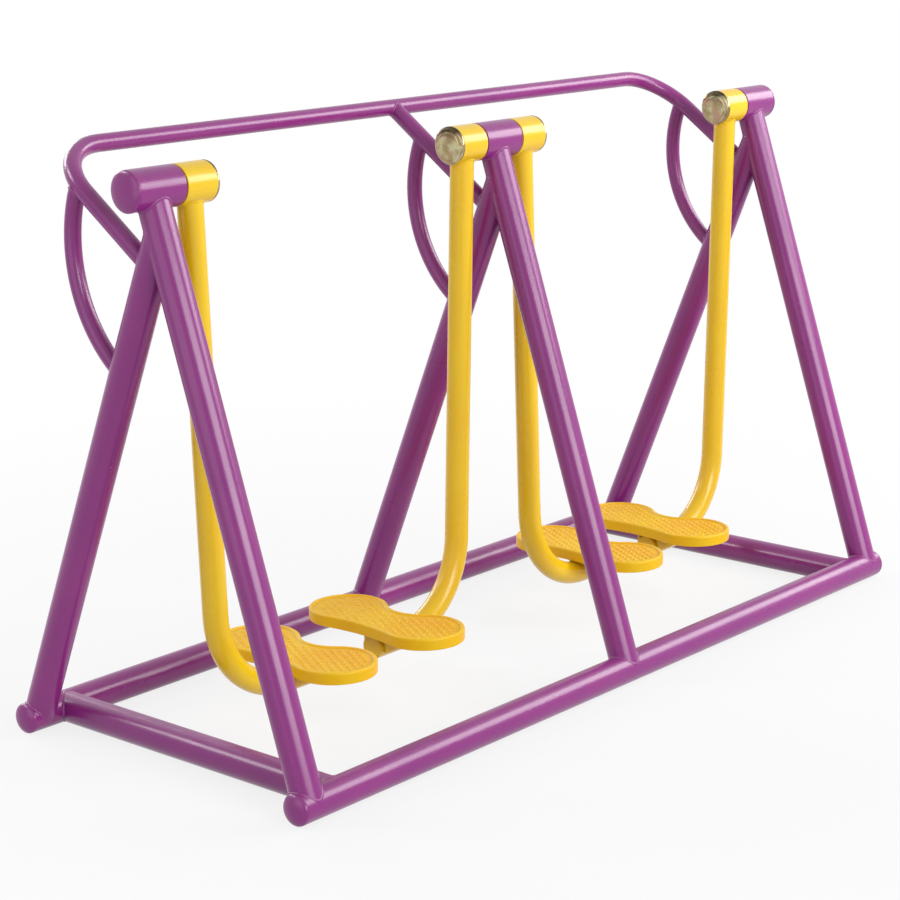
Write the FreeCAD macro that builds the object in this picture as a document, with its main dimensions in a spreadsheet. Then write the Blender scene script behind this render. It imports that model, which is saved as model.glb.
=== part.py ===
import FreeCAD, Part
import math
import os

import Sketcher
from FreeCAD import Vector

# Outdoor air walker with two stations, in millimetres.
# X runs along the machine, the user faces +Y towards the handrail, Z is up.
# The origin is on the ground, at the centre of the base.

doc = FreeCAD.newDocument("air_walker")
sheet = doc.addObject("Spreadsheet::Sheet", "Sizes")

DRIVING_SIZES = {
    # Base and A-frames, welded from one size of round pipe
    "frame_spacing": 935,
    "rail_spacing": 725,
    "rail_overhang": 30,
    "end_rail_inset": 65,
    "pipe_diameter": 60.3,
    "pipe_wall": 3.2,
    "hub_height": 1085,
    "hub_forward": 14,
    "leg_joint_drop": 76,
    # Cross sleeve on top of each A-frame, and the shaft in it
    "sleeve_diameter": 76.1,
    "sleeve_wall": 5,
    "sleeve_length": 108,
    "disc_thickness": 8,
    "axle_diameter": 36,
    "axle_seat_diameter": 30,
    "axle_thread_diameter": 27,
    "axle_thread_beyond_nut": 2,
    # Domed caps that close the pipes
    "cap_spigot": 10,
    "cap_wall": 3,
    "cap_rounding": 2.5,
    "rail_cap_rim": 4,
    "rail_cap_dome": 10,
    "sleeve_cap_rim": 4,
    "sleeve_cap_dome": 6,
    # Handrail, its middle stay and the curved braces below it
    "handrail_diameter": 33.7,
    "handrail_wall": 2.6,
    "handrail_rise": 50,
    "handrail_reach": 269,
    "handrail_angle": 35.8,
    "handrail_bend_radius": 120,
    "brace_diameter": 32,
    "brace_wall": 2.5,
    "brace_radius": 273,
    "brace_centre_forward": 62.5,
    "brace_centre_drop": 116,
    # Bearing housing at the top of each arm
    "running_gap": 3,
    "housing_diameter": 76.1,
    "housing_length": 72,
    "housing_recess": 4,
    "housing_land_diameter": 54,
    "bearing_outer_diameter": 62,
    "bearing_width": 16,
    "bearing_spread": 20,
    "bearing_pitch_diameter": 46,
    "bearing_land_gap": 6.6,
    "ball_diameter": 9.525,
    "ball_clearance": 0.05,
    "spacer_wall": 3,
    "washer_diameter": 44,
    "washer_thickness": 2.5,
    "nut_across_flats": 41,
    "nut_height": 9,
    "hub_cap_rim": 4,
    "hub_cap_dome": 5,
    "hub_cap_spigot": 5,
    # Swinging arm, one bent tube
    "arm_diameter": 48.3,
    "arm_wall": 3,
    "arm_lean": 2,
    "arm_overrun": 45,
    "arm_plug_rim": 3,
    "arm_plug_dome": 1,
    # Footplate, a sole-shaped tread with a raised rim
    "footplate_drop": 929,
    "footplate_spacing": 258,
    "footplate_height": 24,
    "toe_reach": 111,
    "toe_radius": 81,
    "toe_shift": 4,
    "heel_reach": 101,
    "heel_radius": 82,
    "arch_radius": 75,
    "flank_radius": 400,
    "rim_width": 8,
    "rim_rounding": 5,
    "tread_recess": 3,
    "tread_thickness": 5,
    "skirt_wall": 6,
    "stud_diameter": 9,
    "stud_height": 2.5,
    "stud_pitch": 20,
    "boss_diameter": 26,
    "boss_hole_depth": 16,
    # Saddle plate under the footplate, and its bolts
    "saddle_thickness": 6,
    "saddle_length": 76,
    "saddle_width": 116,
    "cheek_thickness": 5,
    "cheek_depth": 8,
    "bolt_diameter": 10,
    "bolt_clearance": 0.2,
    "bolt_grip_depth": 14,
    "bolt_head_across_flats": 16,
    "bolt_head_height": 6.4,
    "bolt_spacing_x": 50,
    "bolt_spacing_y": 84,
}

for line, (alias, size) in enumerate(DRIVING_SIZES.items(), start=1):
    sheet.set(f"A{line}", alias)
    sheet.set(f"B{line}", str(size))
    sheet.setAlias(f"B{line}", alias)
doc.recompute()


# Sizes worked out from the driving ones, as formulas for the document

RAIL_Z = "(Sizes.pipe_diameter / 2)"
RAIL_Y = "(Sizes.rail_spacing / 2)"
HUB_Y = "(-Sizes.hub_forward)"
HUB_Z = "Sizes.hub_height"
PIPE_RADIUS = "(Sizes.pipe_diameter / 2)"
SLEEVE_RADIUS = "(Sizes.sleeve_diameter / 2)"

FRONT_RUN = f"({RAIL_Y} - Sizes.hub_forward)"
FRONT_RISE = f"(Sizes.hub_height - {RAIL_Z})"
FRONT_LEAN = f"atan({FRONT_RUN} / {FRONT_RISE})"
FRONT_LENGTH = f"sqrt({FRONT_RUN}^2 + {FRONT_RISE}^2)"

REAR_RUN = f"({RAIL_Y} + Sizes.hub_forward + Sizes.leg_joint_drop * {FRONT_RUN} / {FRONT_RISE})"
REAR_RISE = f"({FRONT_RISE} - Sizes.leg_joint_drop)"
REAR_LEAN = f"atan({REAR_RUN} / {REAR_RISE})"
REAR_LENGTH = f"sqrt({REAR_RUN}^2 + {REAR_RISE}^2)"

BAR_Y = "(Sizes.handrail_reach - Sizes.hub_forward)"
BAR_Z = "(Sizes.hub_height + Sizes.handrail_rise)"
BAR_RADIUS = "(Sizes.handrail_diameter / 2)"
BAR_SLOPE = "(Sizes.handrail_angle * 1 deg)"
# Distance along a handrail arm from the bar's axis to the rear leg's axis
STAY_LENGTH = (
    f"((({BAR_Y} - {RAIL_Y}) * cos({REAR_LEAN}) + ({BAR_Z} - {RAIL_Z}) * sin({REAR_LEAN}))"
    f" / cos({BAR_SLOPE} - {REAR_LEAN}))"
)
LANDING_Y = f"({BAR_Y} - {STAY_LENGTH} * cos({BAR_SLOPE}))"
LANDING_Z = f"({BAR_Z} - {STAY_LENGTH} * sin({BAR_SLOPE}))"

BRACE_Y = "(-Sizes.hub_forward - Sizes.brace_centre_forward)"
BRACE_Z = "(Sizes.hub_height - Sizes.brace_centre_drop)"
# Distances from the brace's centre to the handrail arm's axis and the rear leg's axis
BRACE_TO_ARM = f"(({BAR_Y} - {BRACE_Y}) * sin({BAR_SLOPE}) - ({BAR_Z} - {BRACE_Z}) * cos({BAR_SLOPE}))"
BRACE_TO_LEG = f"(({RAIL_Y} - {BRACE_Y}) * cos({REAR_LEAN}) + ({RAIL_Z} - {BRACE_Z}) * sin({REAR_LEAN}))"
BRACE_TOP = f"({BAR_SLOPE} - 90 deg + acos({BRACE_TO_ARM} / Sizes.brace_radius))"
BRACE_FOOT = f"({REAR_LEAN} - acos({BRACE_TO_LEG} / Sizes.brace_radius))"

# Places along the hub axis, measured inward from the plane of the A-frame
SLEEVE_END = "(Sizes.sleeve_length / 2)"
HOUSING_START = f"({SLEEVE_END} + Sizes.running_gap)"
HOUSING_MIDDLE = f"({HOUSING_START} + Sizes.housing_length / 2)"
HOUSING_END = f"({HOUSING_START} + Sizes.housing_length)"
BEARING_START = [
    f"({HOUSING_START} + Sizes.housing_recess)",
    f"({HOUSING_START} + Sizes.housing_recess + Sizes.bearing_width + Sizes.bearing_spread)",
]
SPACER_START = f"({BEARING_START[0]} + Sizes.bearing_width)"
WASHER_START = f"({BEARING_START[1]} + Sizes.bearing_width)"
NUT_START = f"({WASHER_START} + Sizes.washer_thickness)"
AXLE_END = f"({NUT_START} + Sizes.nut_height + Sizes.axle_thread_beyond_nut)"
STUB_START = f"(Sizes.cap_spigot - {SLEEVE_END})"

# The arm's level run lies under the footplate, and its bend ends where the saddle begins
ARM_RADIUS = "(Sizes.arm_diameter / 2)"
ARM_LEAN = "(Sizes.arm_lean * 1 deg)"
ARM_DROP = f"(Sizes.footplate_drop + Sizes.footplate_height + Sizes.saddle_thickness + {ARM_RADIUS})"
PLATE_REACH = f"(Sizes.frame_spacing / 2 - {HOUSING_MIDDLE} - Sizes.footplate_spacing / 2)"
ARM_BEND_REACH = f"({PLATE_REACH} - Sizes.saddle_length / 2)"
ARM_BEND_RADIUS = (
    f"(({ARM_BEND_REACH} - {ARM_DROP} * tan({ARM_LEAN})) * cos({ARM_LEAN}) / (1 - sin({ARM_LEAN})))"
)
ARM_STRAIGHT = (
    f"(({ARM_DROP} + {ARM_BEND_RADIUS} * sin({ARM_LEAN}) * (1 - sin({ARM_LEAN})))"
    f" / cos({ARM_LEAN}) - {ARM_BEND_RADIUS} * cos({ARM_LEAN}))"
)
ARM_RUN = "(Sizes.saddle_length / 2 + Sizes.arm_overrun)"

FRAMES = {"left": "-Sizes.frame_spacing", "middle": "0", "right": "Sizes.frame_spacing"}
# Number, A-frame that carries it, and the way it reaches from that frame
ARMS = [(1, "left", 1), (2, "middle", -1), (3, "middle", 1), (4, "right", -1)]

nodes = []


# General helpers

def keep(part, name):
    """Give a finished piece its name and put it on the list of pieces to write."""
    part.Label = name
    nodes.append(part)
    return part


def place(part, x="0", y="0", z="0", turns=()):
    """Tie a piece's place to the sheet; turns are (axis, angle) pairs, the last one made first."""
    spins = [f"rotation(vector({axis[0]}; {axis[1]}; {axis[2]}); {angle})" for axis, angle in turns]
    spin = " * ".join(spins) if spins else "rotation(vector(0; 0; 1); 0)"
    part.setExpression("Placement", f"placement(vector({x}; {y}; {z}); {spin})")
    return part


ABOUT_X = (1, 0, 0)
ABOUT_Y = (0, 1, 0)
ABOUT_Z = (0, 0, 1)
ALONG_X = (ABOUT_Y, "90")


def origin_plane(body, role):
    return next(feature for feature in body.Origin.OriginFeatures if feature.Role == role)


def new_body(name):
    return doc.addObject("PartDesign::Body", name)


def new_sketch(body, name, role, offset=None):
    sketch = body.newObject("Sketcher::SketchObject", name)
    sketch.AttachmentSupport = [(origin_plane(body, role), "")]
    sketch.MapMode = "FlatFace"
    if offset:
        sketch.setExpression(".AttachmentOffset.Base.z", offset)
    return sketch


def value(formula):
    """The number that a formula gives with the sizes as they stand."""
    return float(sheet.evalExpression(formula))


def bind(sketch, constraint, formula):
    index = sketch.addConstraint(constraint)
    sketch.setExpression(f"Constraints[{index}]", formula)


def pin_point(sketch, item, point, x, y):
    """Hold a point of the sketch at x, y, which are formulas."""
    drawn = sketch.getPoint(item, point)
    if x == "0":
        sketch.addConstraint(Sketcher.Constraint("PointOnObject", item, point, -2))
    else:
        bind(sketch, Sketcher.Constraint("DistanceX", -1, 1, item, point, drawn.x), x)
    if y == "0":
        sketch.addConstraint(Sketcher.Constraint("PointOnObject", item, point, -1))
    else:
        bind(sketch, Sketcher.Constraint("DistanceY", -1, 1, item, point, drawn.y), y)


def draw_circle(sketch, radius, x="0", y="0"):
    centre = Vector(value(x), value(y), 0)
    item = sketch.addGeometry(Part.Circle(centre, Vector(0, 0, 1), value(radius)))
    pin_point(sketch, item, 3, x, y)
    bind(sketch, Sketcher.Constraint("Radius", item, value(radius)), radius)


def draw_lines(sketch, corners, closed=True):
    """Straight lines through corners given as pairs of formulas."""
    drawn = [Vector(value(x), value(y), 0) for x, y in corners]
    count = len(corners)
    if not closed:
        count -= 1
    lines = []
    for i in range(count):
        end = drawn[(i + 1) % len(corners)]
        lines.append(sketch.addGeometry(Part.LineSegment(drawn[i], end)))
        pin_point(sketch, lines[i], 1, *corners[i])
        if i:
            sketch.addConstraint(Sketcher.Constraint("Coincident", lines[i - 1], 2, lines[i], 1))
    if closed:
        sketch.addConstraint(Sketcher.Constraint("Coincident", lines[-1], 2, lines[0], 1))
    else:
        pin_point(sketch, lines[-1], 2, *corners[-1])
    return lines


def pad(body, sketch, length, name, both_ways=False):
    feature = body.newObject("PartDesign::Pad", name)
    feature.Profile = sketch
    feature.setExpression("Length", length)
    if both_ways:
        feature.SideType = "Symmetric"
    return feature


def pocket(body, sketch, name, length=None, upward=False):
    """Cut the sketch out, right through both ways where no length is given."""
    feature = body.newObject("PartDesign::Pocket", name)
    feature.Profile = sketch
    if length:
        feature.setExpression("Length", length)
        feature.Reversed = upward
    else:
        feature.Type = "ThroughAll"
        feature.SideType = "Symmetric"
    return feature


def soften(body, feature, edges, radius, name):
    """Round those edges of the feature."""
    numbers = [number for number, edge in enumerate(feature.Shape.Edges, start=1)
               if any(edge.isSame(chosen) for chosen in edges)]
    rounding = body.newObject("PartDesign::Fillet", name)
    rounding.Base = (feature, [f"Edge{number}" for number in numbers])
    rounding.setExpression("Radius", radius)


def round_tube(name, outer_radius, wall, length, role="XY_Plane", both_ways=False):
    """A straight tube as a body, square at both ends."""
    body = new_body(name)
    ring = new_sketch(body, name + "_ring", role)
    draw_circle(ring, outer_radius)
    draw_circle(ring, f"{outer_radius} - {wall}")
    pad(body, ring, length, name + "_length", both_ways)
    return body


def cylinder(name, radius, length, x="0", y="0", z="0", turns=()):
    part = doc.addObject("Part::Cylinder", name)
    part.setExpression("Radius", radius)
    part.setExpression("Height", length)
    return place(part, x, y, z, turns)


def cut(name, base, *tools):
    """The base with each tool taken away in turn."""
    for number, tool in enumerate(tools):
        result = doc.addObject("Part::Cut", f"{name}_cut_{number}")
        result.Base = base
        result.Tool = tool
        base = result
    return base


def group(name, members):
    """Identical loose pieces that share one node."""
    result = doc.addObject("Part::Compound", name)
    result.Links = members
    return keep(result, name)


def tube_cap(name, tube_radius, tube_wall, spigot, rim, dome):
    """A cap on a tube's end, along +Z: a hollow spigot in the tube and a solid head with a shallow dome."""
    body = new_body(name)
    bore = f"({tube_radius} - {tube_wall})"
    profile = new_sketch(body, name + "_profile", "XZ_Plane")
    lines = draw_lines(profile, [
        ("0", f"{rim} + {dome}"),
        ("0", "0"),
        (f"{bore} - Sizes.cap_wall", "0"),
        (f"{bore} - Sizes.cap_wall", f"-{spigot}"),
        (bore, f"-{spigot}"),
        (bore, "0"),
        (tube_radius, "0"),
        (tube_radius, rim),
    ], closed=False)
    ball = (value(tube_radius) ** 2 + value(dome) ** 2) / (2 * value(dome))
    centre = Vector(0, value(rim) + value(dome) - ball, 0)
    edge_angle = math.acos(value(tube_radius) / ball)
    ball_circle = Part.Circle(centre, Vector(0, 0, 1), ball)
    arc = profile.addGeometry(Part.ArcOfCircle(ball_circle, edge_angle, math.pi / 2))
    profile.addConstraint(Sketcher.Constraint("Coincident", lines[-1], 2, arc, 1))
    profile.addConstraint(Sketcher.Constraint("Coincident", arc, 2, lines[0], 1))
    profile.addConstraint(Sketcher.Constraint("PointOnObject", arc, 3, -2))
    head = body.newObject("PartDesign::Revolution", name + "_head")
    head.Profile = profile
    head.ReferenceAxis = (profile, ["V_Axis"])
    head.Angle = 360
    doc.recompute()
    rim_edge = max(head.Shape.Edges, key=lambda edge: (round(edge.BoundBox.XLength, 3), edge.BoundBox.ZMin))
    soften(body, head, [rim_edge], "Sizes.cap_rounding", name + "_softened")
    return body


# Base: two long rails and two cross rails with saddle-cut ends, all one pipe size

RAIL_LENGTH = "2 * (Sizes.frame_spacing + Sizes.rail_overhang)"
CAP_TURNS = {-1: [(ABOUT_Y, "-90")], 1: [(ABOUT_Y, "90")]}


def make_base():
    for side, y in (("front", f"-{RAIL_Y}"), ("rear", RAIL_Y)):
        rail = round_tube(f"base_rail_{side}", PIPE_RADIUS, "Sizes.pipe_wall", RAIL_LENGTH, "YZ_Plane", True)
        keep(place(rail, "0", y, RAIL_Z), f"base_rail_{side}")
    for side, sign in (("left", "-"), ("right", "")):
        name = f"base_rail_{side}"
        rail = round_tube(name, PIPE_RADIUS, "Sizes.pipe_wall", "Sizes.rail_spacing", "XZ_Plane", True)
        saddles = new_sketch(rail, name + "_saddles", "YZ_Plane")
        draw_circle(saddles, PIPE_RADIUS, RAIL_Y, "0")
        draw_circle(saddles, PIPE_RADIUS, f"-{RAIL_Y}", "0")
        pocket(rail, saddles, name + "_saddle_cuts")
        x = f"{sign}(Sizes.frame_spacing - Sizes.end_rail_inset)"
        keep(place(rail, x, "0", RAIL_Z), name)
    caps = []
    for end, end_name in ((-1, "left"), (1, "right")):
        for side, y in (("front", f"-{RAIL_Y}"), ("rear", RAIL_Y)):
            cap = tube_cap(f"rail_cap_{side}_{end_name}", PIPE_RADIUS, "Sizes.pipe_wall",
                           "Sizes.cap_spigot", "Sizes.rail_cap_rim", "Sizes.rail_cap_dome")
            caps.append(place(cap, f"{end} * {RAIL_LENGTH} / 2", y, RAIL_Z, CAP_TURNS[end]))
    group("base_end_caps", caps)


# A-frames: the front leg runs up to the sleeve, the rear leg is cut to the back of the front leg

def make_legs():
    for frame, x in FRAMES.items():
        name = f"front_leg_{frame}"
        leg = round_tube(name, PIPE_RADIUS, "Sizes.pipe_wall", FRONT_LENGTH)
        saddles = new_sketch(leg, name + "_saddles", "YZ_Plane")
        draw_circle(saddles, PIPE_RADIUS, "0", "0")
        draw_circle(saddles, SLEEVE_RADIUS, "0", FRONT_LENGTH)
        pocket(leg, saddles, name + "_saddle_cuts")
        keep(place(leg, x, f"-{RAIL_Y}", RAIL_Z, [(ABOUT_X, f"-{FRONT_LEAN}")]), name)

        name = f"rear_leg_{frame}"
        pipe = round_tube(name + "_pipe", PIPE_RADIUS, "Sizes.pipe_wall", REAR_LENGTH)
        place(pipe, x, RAIL_Y, RAIL_Z, [(ABOUT_X, REAR_LEAN)])
        rail = cylinder(name + "_rail_cutter", PIPE_RADIUS, "Sizes.pipe_diameter",
                        f"{x} - {PIPE_RADIUS}", RAIL_Y, RAIL_Z, [ALONG_X])
        front = leg_cutter(name + "_front_cutter", x, f"-{RAIL_Y}", FRONT_LENGTH, f"-{FRONT_LEAN}")
        keep(cut(name, pipe, rail, front), name)


def leg_cutter(name, x, y, length, lean):
    """A solid rod with the outside of a leg, to shape the end of a tube welded to it."""
    return cylinder(name, PIPE_RADIUS, length, x, y, RAIL_Z, [(ABOUT_X, lean)])


def rear_leg_cutter(name, x):
    return leg_cutter(name, x, RAIL_Y, REAR_LENGTH, REAR_LEAN)


# Handrail: a bent bar, a straight stay in the middle, and a curved brace under each of its three arms

HANDRAIL_TURN = [(ABOUT_X, f"180 deg + {BAR_SLOPE}")]


def handrail_bar(name, radius):
    """The bent bar as a solid rod of the given radius: arm, bend, bar, bend, arm."""
    body = new_body(name)
    half = sheet.frame_spacing
    bend = sheet.handrail_bend_radius
    arm = value(STAY_LENGTH)
    path = new_sketch(body, name + "_path", "XY_Plane")
    left_arm = path.addGeometry(Part.LineSegment(Vector(-half, 0, 0), Vector(-half, bend - arm, 0)))
    left_bend = path.addGeometry(Part.ArcOfCircle(
        Part.Circle(Vector(bend - half, bend - arm, 0), Vector(0, 0, 1), bend), math.pi, 1.5 * math.pi))
    bar = path.addGeometry(Part.LineSegment(Vector(bend - half, -arm, 0), Vector(half - bend, -arm, 0)))
    right_bend = path.addGeometry(Part.ArcOfCircle(
        Part.Circle(Vector(half - bend, bend - arm, 0), Vector(0, 0, 1), bend), 1.5 * math.pi, 2 * math.pi))
    right_arm = path.addGeometry(Part.LineSegment(Vector(half, bend - arm, 0), Vector(half, 0, 0)))
    for first, end, second, start in ((left_arm, 2, left_bend, 1), (left_bend, 2, bar, 1),
                                      (bar, 2, right_bend, 1), (right_bend, 2, right_arm, 1)):
        path.addConstraint(Sketcher.Constraint("Tangent", first, end, second, start))
    path.addConstraint(Sketcher.Constraint("Vertical", left_arm))
    path.addConstraint(Sketcher.Constraint("Horizontal", bar))
    path.addConstraint(Sketcher.Constraint("Vertical", right_arm))
    pin_point(path, left_arm, 1, "-Sizes.frame_spacing", "0")
    pin_point(path, right_arm, 2, "Sizes.frame_spacing", "0")
    bind(path, Sketcher.Constraint("DistanceY", bar, 1, -1, 1, arm), STAY_LENGTH)
    for arc in (left_bend, right_bend):
        bind(path, Sketcher.Constraint("Radius", arc, bend), "Sizes.handrail_bend_radius")
    section = new_sketch(body, name + "_section", "XZ_Plane")
    draw_circle(section, radius, "-Sizes.frame_spacing", "0")
    sweep = body.newObject("PartDesign::AdditivePipe", name + "_sweep")
    sweep.Profile = section
    sweep.Spine = path
    return place(body, "0", LANDING_Y, LANDING_Z, HANDRAIL_TURN)


def make_handrail():
    outside = handrail_bar("handrail_outside", BAR_RADIUS)
    bore = handrail_bar("handrail_bore", f"{BAR_RADIUS} - Sizes.handrail_wall")
    legs = [rear_leg_cutter(f"handrail_{side}_cutter", FRAMES[side]) for side in ("left", "right")]
    keep(cut("handrail", outside, bore, *legs), "handrail")

    stay = round_tube("handrail_stay_tube", BAR_RADIUS, "Sizes.handrail_wall", STAY_LENGTH)
    place(stay, "0", LANDING_Y, LANDING_Z, [(ABOUT_X, f"{BAR_SLOPE} - 90 deg")])
    leg = rear_leg_cutter("handrail_stay_cutter", "0")
    keep(cut("handrail_stay", stay, outside, leg), "handrail_stay")

    for frame, x in FRAMES.items():
        name = f"handrail_brace_{frame}"
        brace = new_body(name + "_tube")
        ring = new_sketch(brace, name + "_ring", "XY_Plane")
        draw_circle(ring, "Sizes.brace_diameter / 2", "0", "Sizes.brace_radius")
        draw_circle(ring, "Sizes.brace_diameter / 2 - Sizes.brace_wall", "0", "Sizes.brace_radius")
        curve = brace.newObject("PartDesign::Revolution", name + "_curve")
        curve.Profile = ring
        curve.ReferenceAxis = (ring, ["H_Axis"])
        curve.setExpression("Angle", f"{BRACE_TOP} - {BRACE_FOOT}")
        place(brace, x, BRACE_Y, BRACE_Z, [(ABOUT_X, BRACE_FOOT)])
        if frame == "middle":
            arm = cylinder(name + "_arm_cutter", BAR_RADIUS, STAY_LENGTH,
                           x, LANDING_Y, LANDING_Z, [(ABOUT_X, f"{BAR_SLOPE} - 90 deg")])
        else:
            arm = outside
        keep(cut(name, brace, arm, rear_leg_cutter(name + "_leg_cutter", x)), name)


# Sleeve and shaft on top of each A-frame

INWARD = {"left": 1, "right": -1}


def along_hub(frame, way, offset):
    """Place along the hub axis, offset inward from the plane of the A-frame."""
    return f"{FRAMES[frame]} + {way} * {offset}"


def hub_rod(name, frame, way, start, end, diameter):
    """A round rod on the hub axis, from start to end as measured from the A-frame."""
    turn = [(ABOUT_Y, f"{90 * way}")]
    x = along_hub(frame, way, start)
    return cylinder(name, f"{diameter} / 2", f"{end} - {start}", x, HUB_Y, HUB_Z, turn)


def hub_ring(name, frame, way, start, length, outer, inner):
    """A ring on the hub axis, between two diameters."""
    outside = hub_rod(name + "_outside", frame, way, start, f"({start} + {length})", outer)
    inside = hub_rod(name + "_inside", frame, way, start, f"({start} + {length})", inner)
    return cut(name, outside, inside)


def make_sleeves():
    for frame, x in FRAMES.items():
        name = f"axle_sleeve_{frame}"
        sleeve = round_tube(name, SLEEVE_RADIUS, "Sizes.sleeve_wall", "Sizes.sleeve_length", "YZ_Plane", True)
        keep(place(sleeve, x, HUB_Y, HUB_Z), name)
    caps = []
    for frame, way in INWARD.items():
        cap = tube_cap(f"sleeve_cap_{frame}", SLEEVE_RADIUS, "Sizes.sleeve_wall", "Sizes.cap_spigot",
                       "Sizes.sleeve_cap_rim", "Sizes.sleeve_cap_dome")
        caps.append(place(cap, along_hub(frame, -way, SLEEVE_END), HUB_Y, HUB_Z, CAP_TURNS[-way]))
    group("sleeve_end_caps", caps)


def make_axles():
    steps = [
        ("shaft", BEARING_START[0], "Sizes.axle_diameter"),
        ("seat", WASHER_START, "Sizes.axle_seat_diameter"),
        ("thread", AXLE_END, "Sizes.axle_thread_diameter"),
    ]
    for frame in FRAMES:
        way = INWARD.get(frame, 1)
        rods = []
        for step, end, diameter in steps:
            start = STUB_START if frame in INWARD else f"-{end}"
            rods.append(hub_rod(f"axle_{frame}_{step}", frame, way, start, end, diameter))
        axle = doc.addObject("Part::MultiFuse", f"axle_{frame}")
        axle.Shapes = rods
        axle.Refine = True
        keep(axle, f"axle_{frame}")
    discs = []
    sleeve_bore = "(Sizes.sleeve_diameter - 2 * Sizes.sleeve_wall)"
    inner_disc = f"({SLEEVE_END} - Sizes.disc_thickness)"
    outer_disc = f"({SLEEVE_END} - Sizes.cap_spigot - Sizes.disc_thickness)"
    for frame in FRAMES:
        for way in (-1, 1):
            start = outer_disc if INWARD.get(frame) == -way else inner_disc
            side = "right" if way > 0 else "left"
            discs.append(hub_ring(f"axle_disc_{frame}_{side}", frame, way, start, "Sizes.disc_thickness",
                                  sleeve_bore, "Sizes.axle_diameter"))
    group("axle_discs", discs)


# Bearings: inner rings stay on the shafts, outer rings and balls turn with the arms

RACE_MIDDLE = "Sizes.bearing_width / 2"


def raced_ring(name, frame, way, start, outer, inner):
    """A bearing ring with the groove that its balls run in."""
    ring = hub_ring(name, frame, way, start, "Sizes.bearing_width", outer, inner)
    groove = doc.addObject("Part::Torus", name + "_groove")
    groove.setExpression("Radius1", "Sizes.bearing_pitch_diameter / 2")
    groove.setExpression("Radius2", "Sizes.ball_diameter / 2 + Sizes.ball_clearance")
    place(groove, along_hub(frame, way, f"({start} + {RACE_MIDDLE})"), HUB_Y, HUB_Z, [ALONG_X])
    return cut(name + "_race", ring, groove)


BALL_COUNT = 8


def ball_set(name, frame, way, start):
    balls = []
    for number in range(BALL_COUNT):
        ball = doc.addObject("Part::Sphere", f"{name}_ball_{number}")
        ball.setExpression("Radius", "Sizes.ball_diameter / 2")
        angle = 360 * number / BALL_COUNT
        place(ball, along_hub(frame, way, f"({start} + {RACE_MIDDLE})"),
              f"{HUB_Y} + Sizes.bearing_pitch_diameter / 2 * cos({angle})",
              f"{HUB_Z} + Sizes.bearing_pitch_diameter / 2 * sin({angle})")
        balls.append(ball)
    return balls


def make_axle_fittings():
    rings = []
    spacers = []
    washers = []
    nuts = []
    inner_land = "(Sizes.bearing_pitch_diameter - Sizes.bearing_land_gap)"
    for number, frame, way in ARMS:
        for place_number, start in enumerate(BEARING_START):
            name = f"inner_ring_{number}_{place_number}"
            rings.append(raced_ring(name, frame, way, start, inner_land, "Sizes.axle_seat_diameter"))
        spacers.append(hub_ring(f"spacer_{number}", frame, way, SPACER_START, "Sizes.bearing_spread",
                                "(Sizes.axle_seat_diameter + 2 * Sizes.spacer_wall)",
                                "Sizes.axle_seat_diameter"))
        washers.append(hub_ring(f"washer_{number}", frame, way, WASHER_START, "Sizes.washer_thickness",
                                "Sizes.washer_diameter", "Sizes.axle_thread_diameter"))
        hexagon = doc.addObject("Part::Prism", f"nut_{number}_hexagon")
        hexagon.Polygon = 6
        hexagon.setExpression("Circumradius", "Sizes.nut_across_flats / sqrt(3)")
        hexagon.setExpression("Height", "Sizes.nut_height")
        place(hexagon, along_hub(frame, way, NUT_START), HUB_Y, HUB_Z, [(ABOUT_Y, f"{90 * way}")])
        thread = hub_rod(f"nut_{number}_thread", frame, way, NUT_START,
                         f"({NUT_START} + Sizes.nut_height)", "Sizes.axle_thread_diameter")
        nuts.append(cut(f"nut_{number}", hexagon, thread))
    group("bearing_inner_rings", rings)
    group("bearing_spacers", spacers)
    group("axle_washers", washers)
    group("axle_nuts", nuts)


def make_hub(number, frame, way):
    """Housing with its two outer rings and their balls, closed by a plated cap."""
    seat = "(Sizes.bearing_outer_diameter / 2)"
    outside = "(Sizes.housing_diameter / 2)"
    land = "(Sizes.housing_land_diameter / 2)"
    name = f"bearing_housing_{number}"
    housing = new_body(name)
    profile = new_sketch(housing, name + "_profile", "XZ_Plane")
    draw_lines(profile, [
        (HOUSING_START, seat),
        (HOUSING_START, outside),
        (HOUSING_END, outside),
        (HOUSING_END, seat),
        (BEARING_START[1], seat),
        (BEARING_START[1], land),
        (SPACER_START, land),
        (SPACER_START, seat),
    ])
    turned = housing.newObject("PartDesign::Revolution", name + "_turned")
    turned.Profile = profile
    turned.ReferenceAxis = (profile, ["H_Axis"])
    turned.Angle = 360
    place(housing, FRAMES[frame], HUB_Y, HUB_Z, [(ABOUT_Z, f"{90 - 90 * way}")])
    keep(housing, name)

    pieces = []
    outer_land = "(Sizes.bearing_pitch_diameter + Sizes.bearing_land_gap)"
    for place_number, start in enumerate(BEARING_START):
        ring = f"outer_ring_{number}_{place_number}"
        pieces.append(raced_ring(ring, frame, way, start, "Sizes.bearing_outer_diameter", outer_land))
        pieces += ball_set(ring, frame, way, start)
    group(f"ball_bearings_{number}", pieces)

    name = f"hub_cap_{number}"
    cap = tube_cap(name, outside, f"({outside} - {seat})", "Sizes.hub_cap_spigot",
                   "Sizes.hub_cap_rim", "Sizes.hub_cap_dome")
    keep(place(cap, along_hub(frame, way, HOUSING_END), HUB_Y, HUB_Z, CAP_TURNS[way]), name)


# Swinging arm: one tube that leans a little inward, bends, and runs level under the footplate

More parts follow.
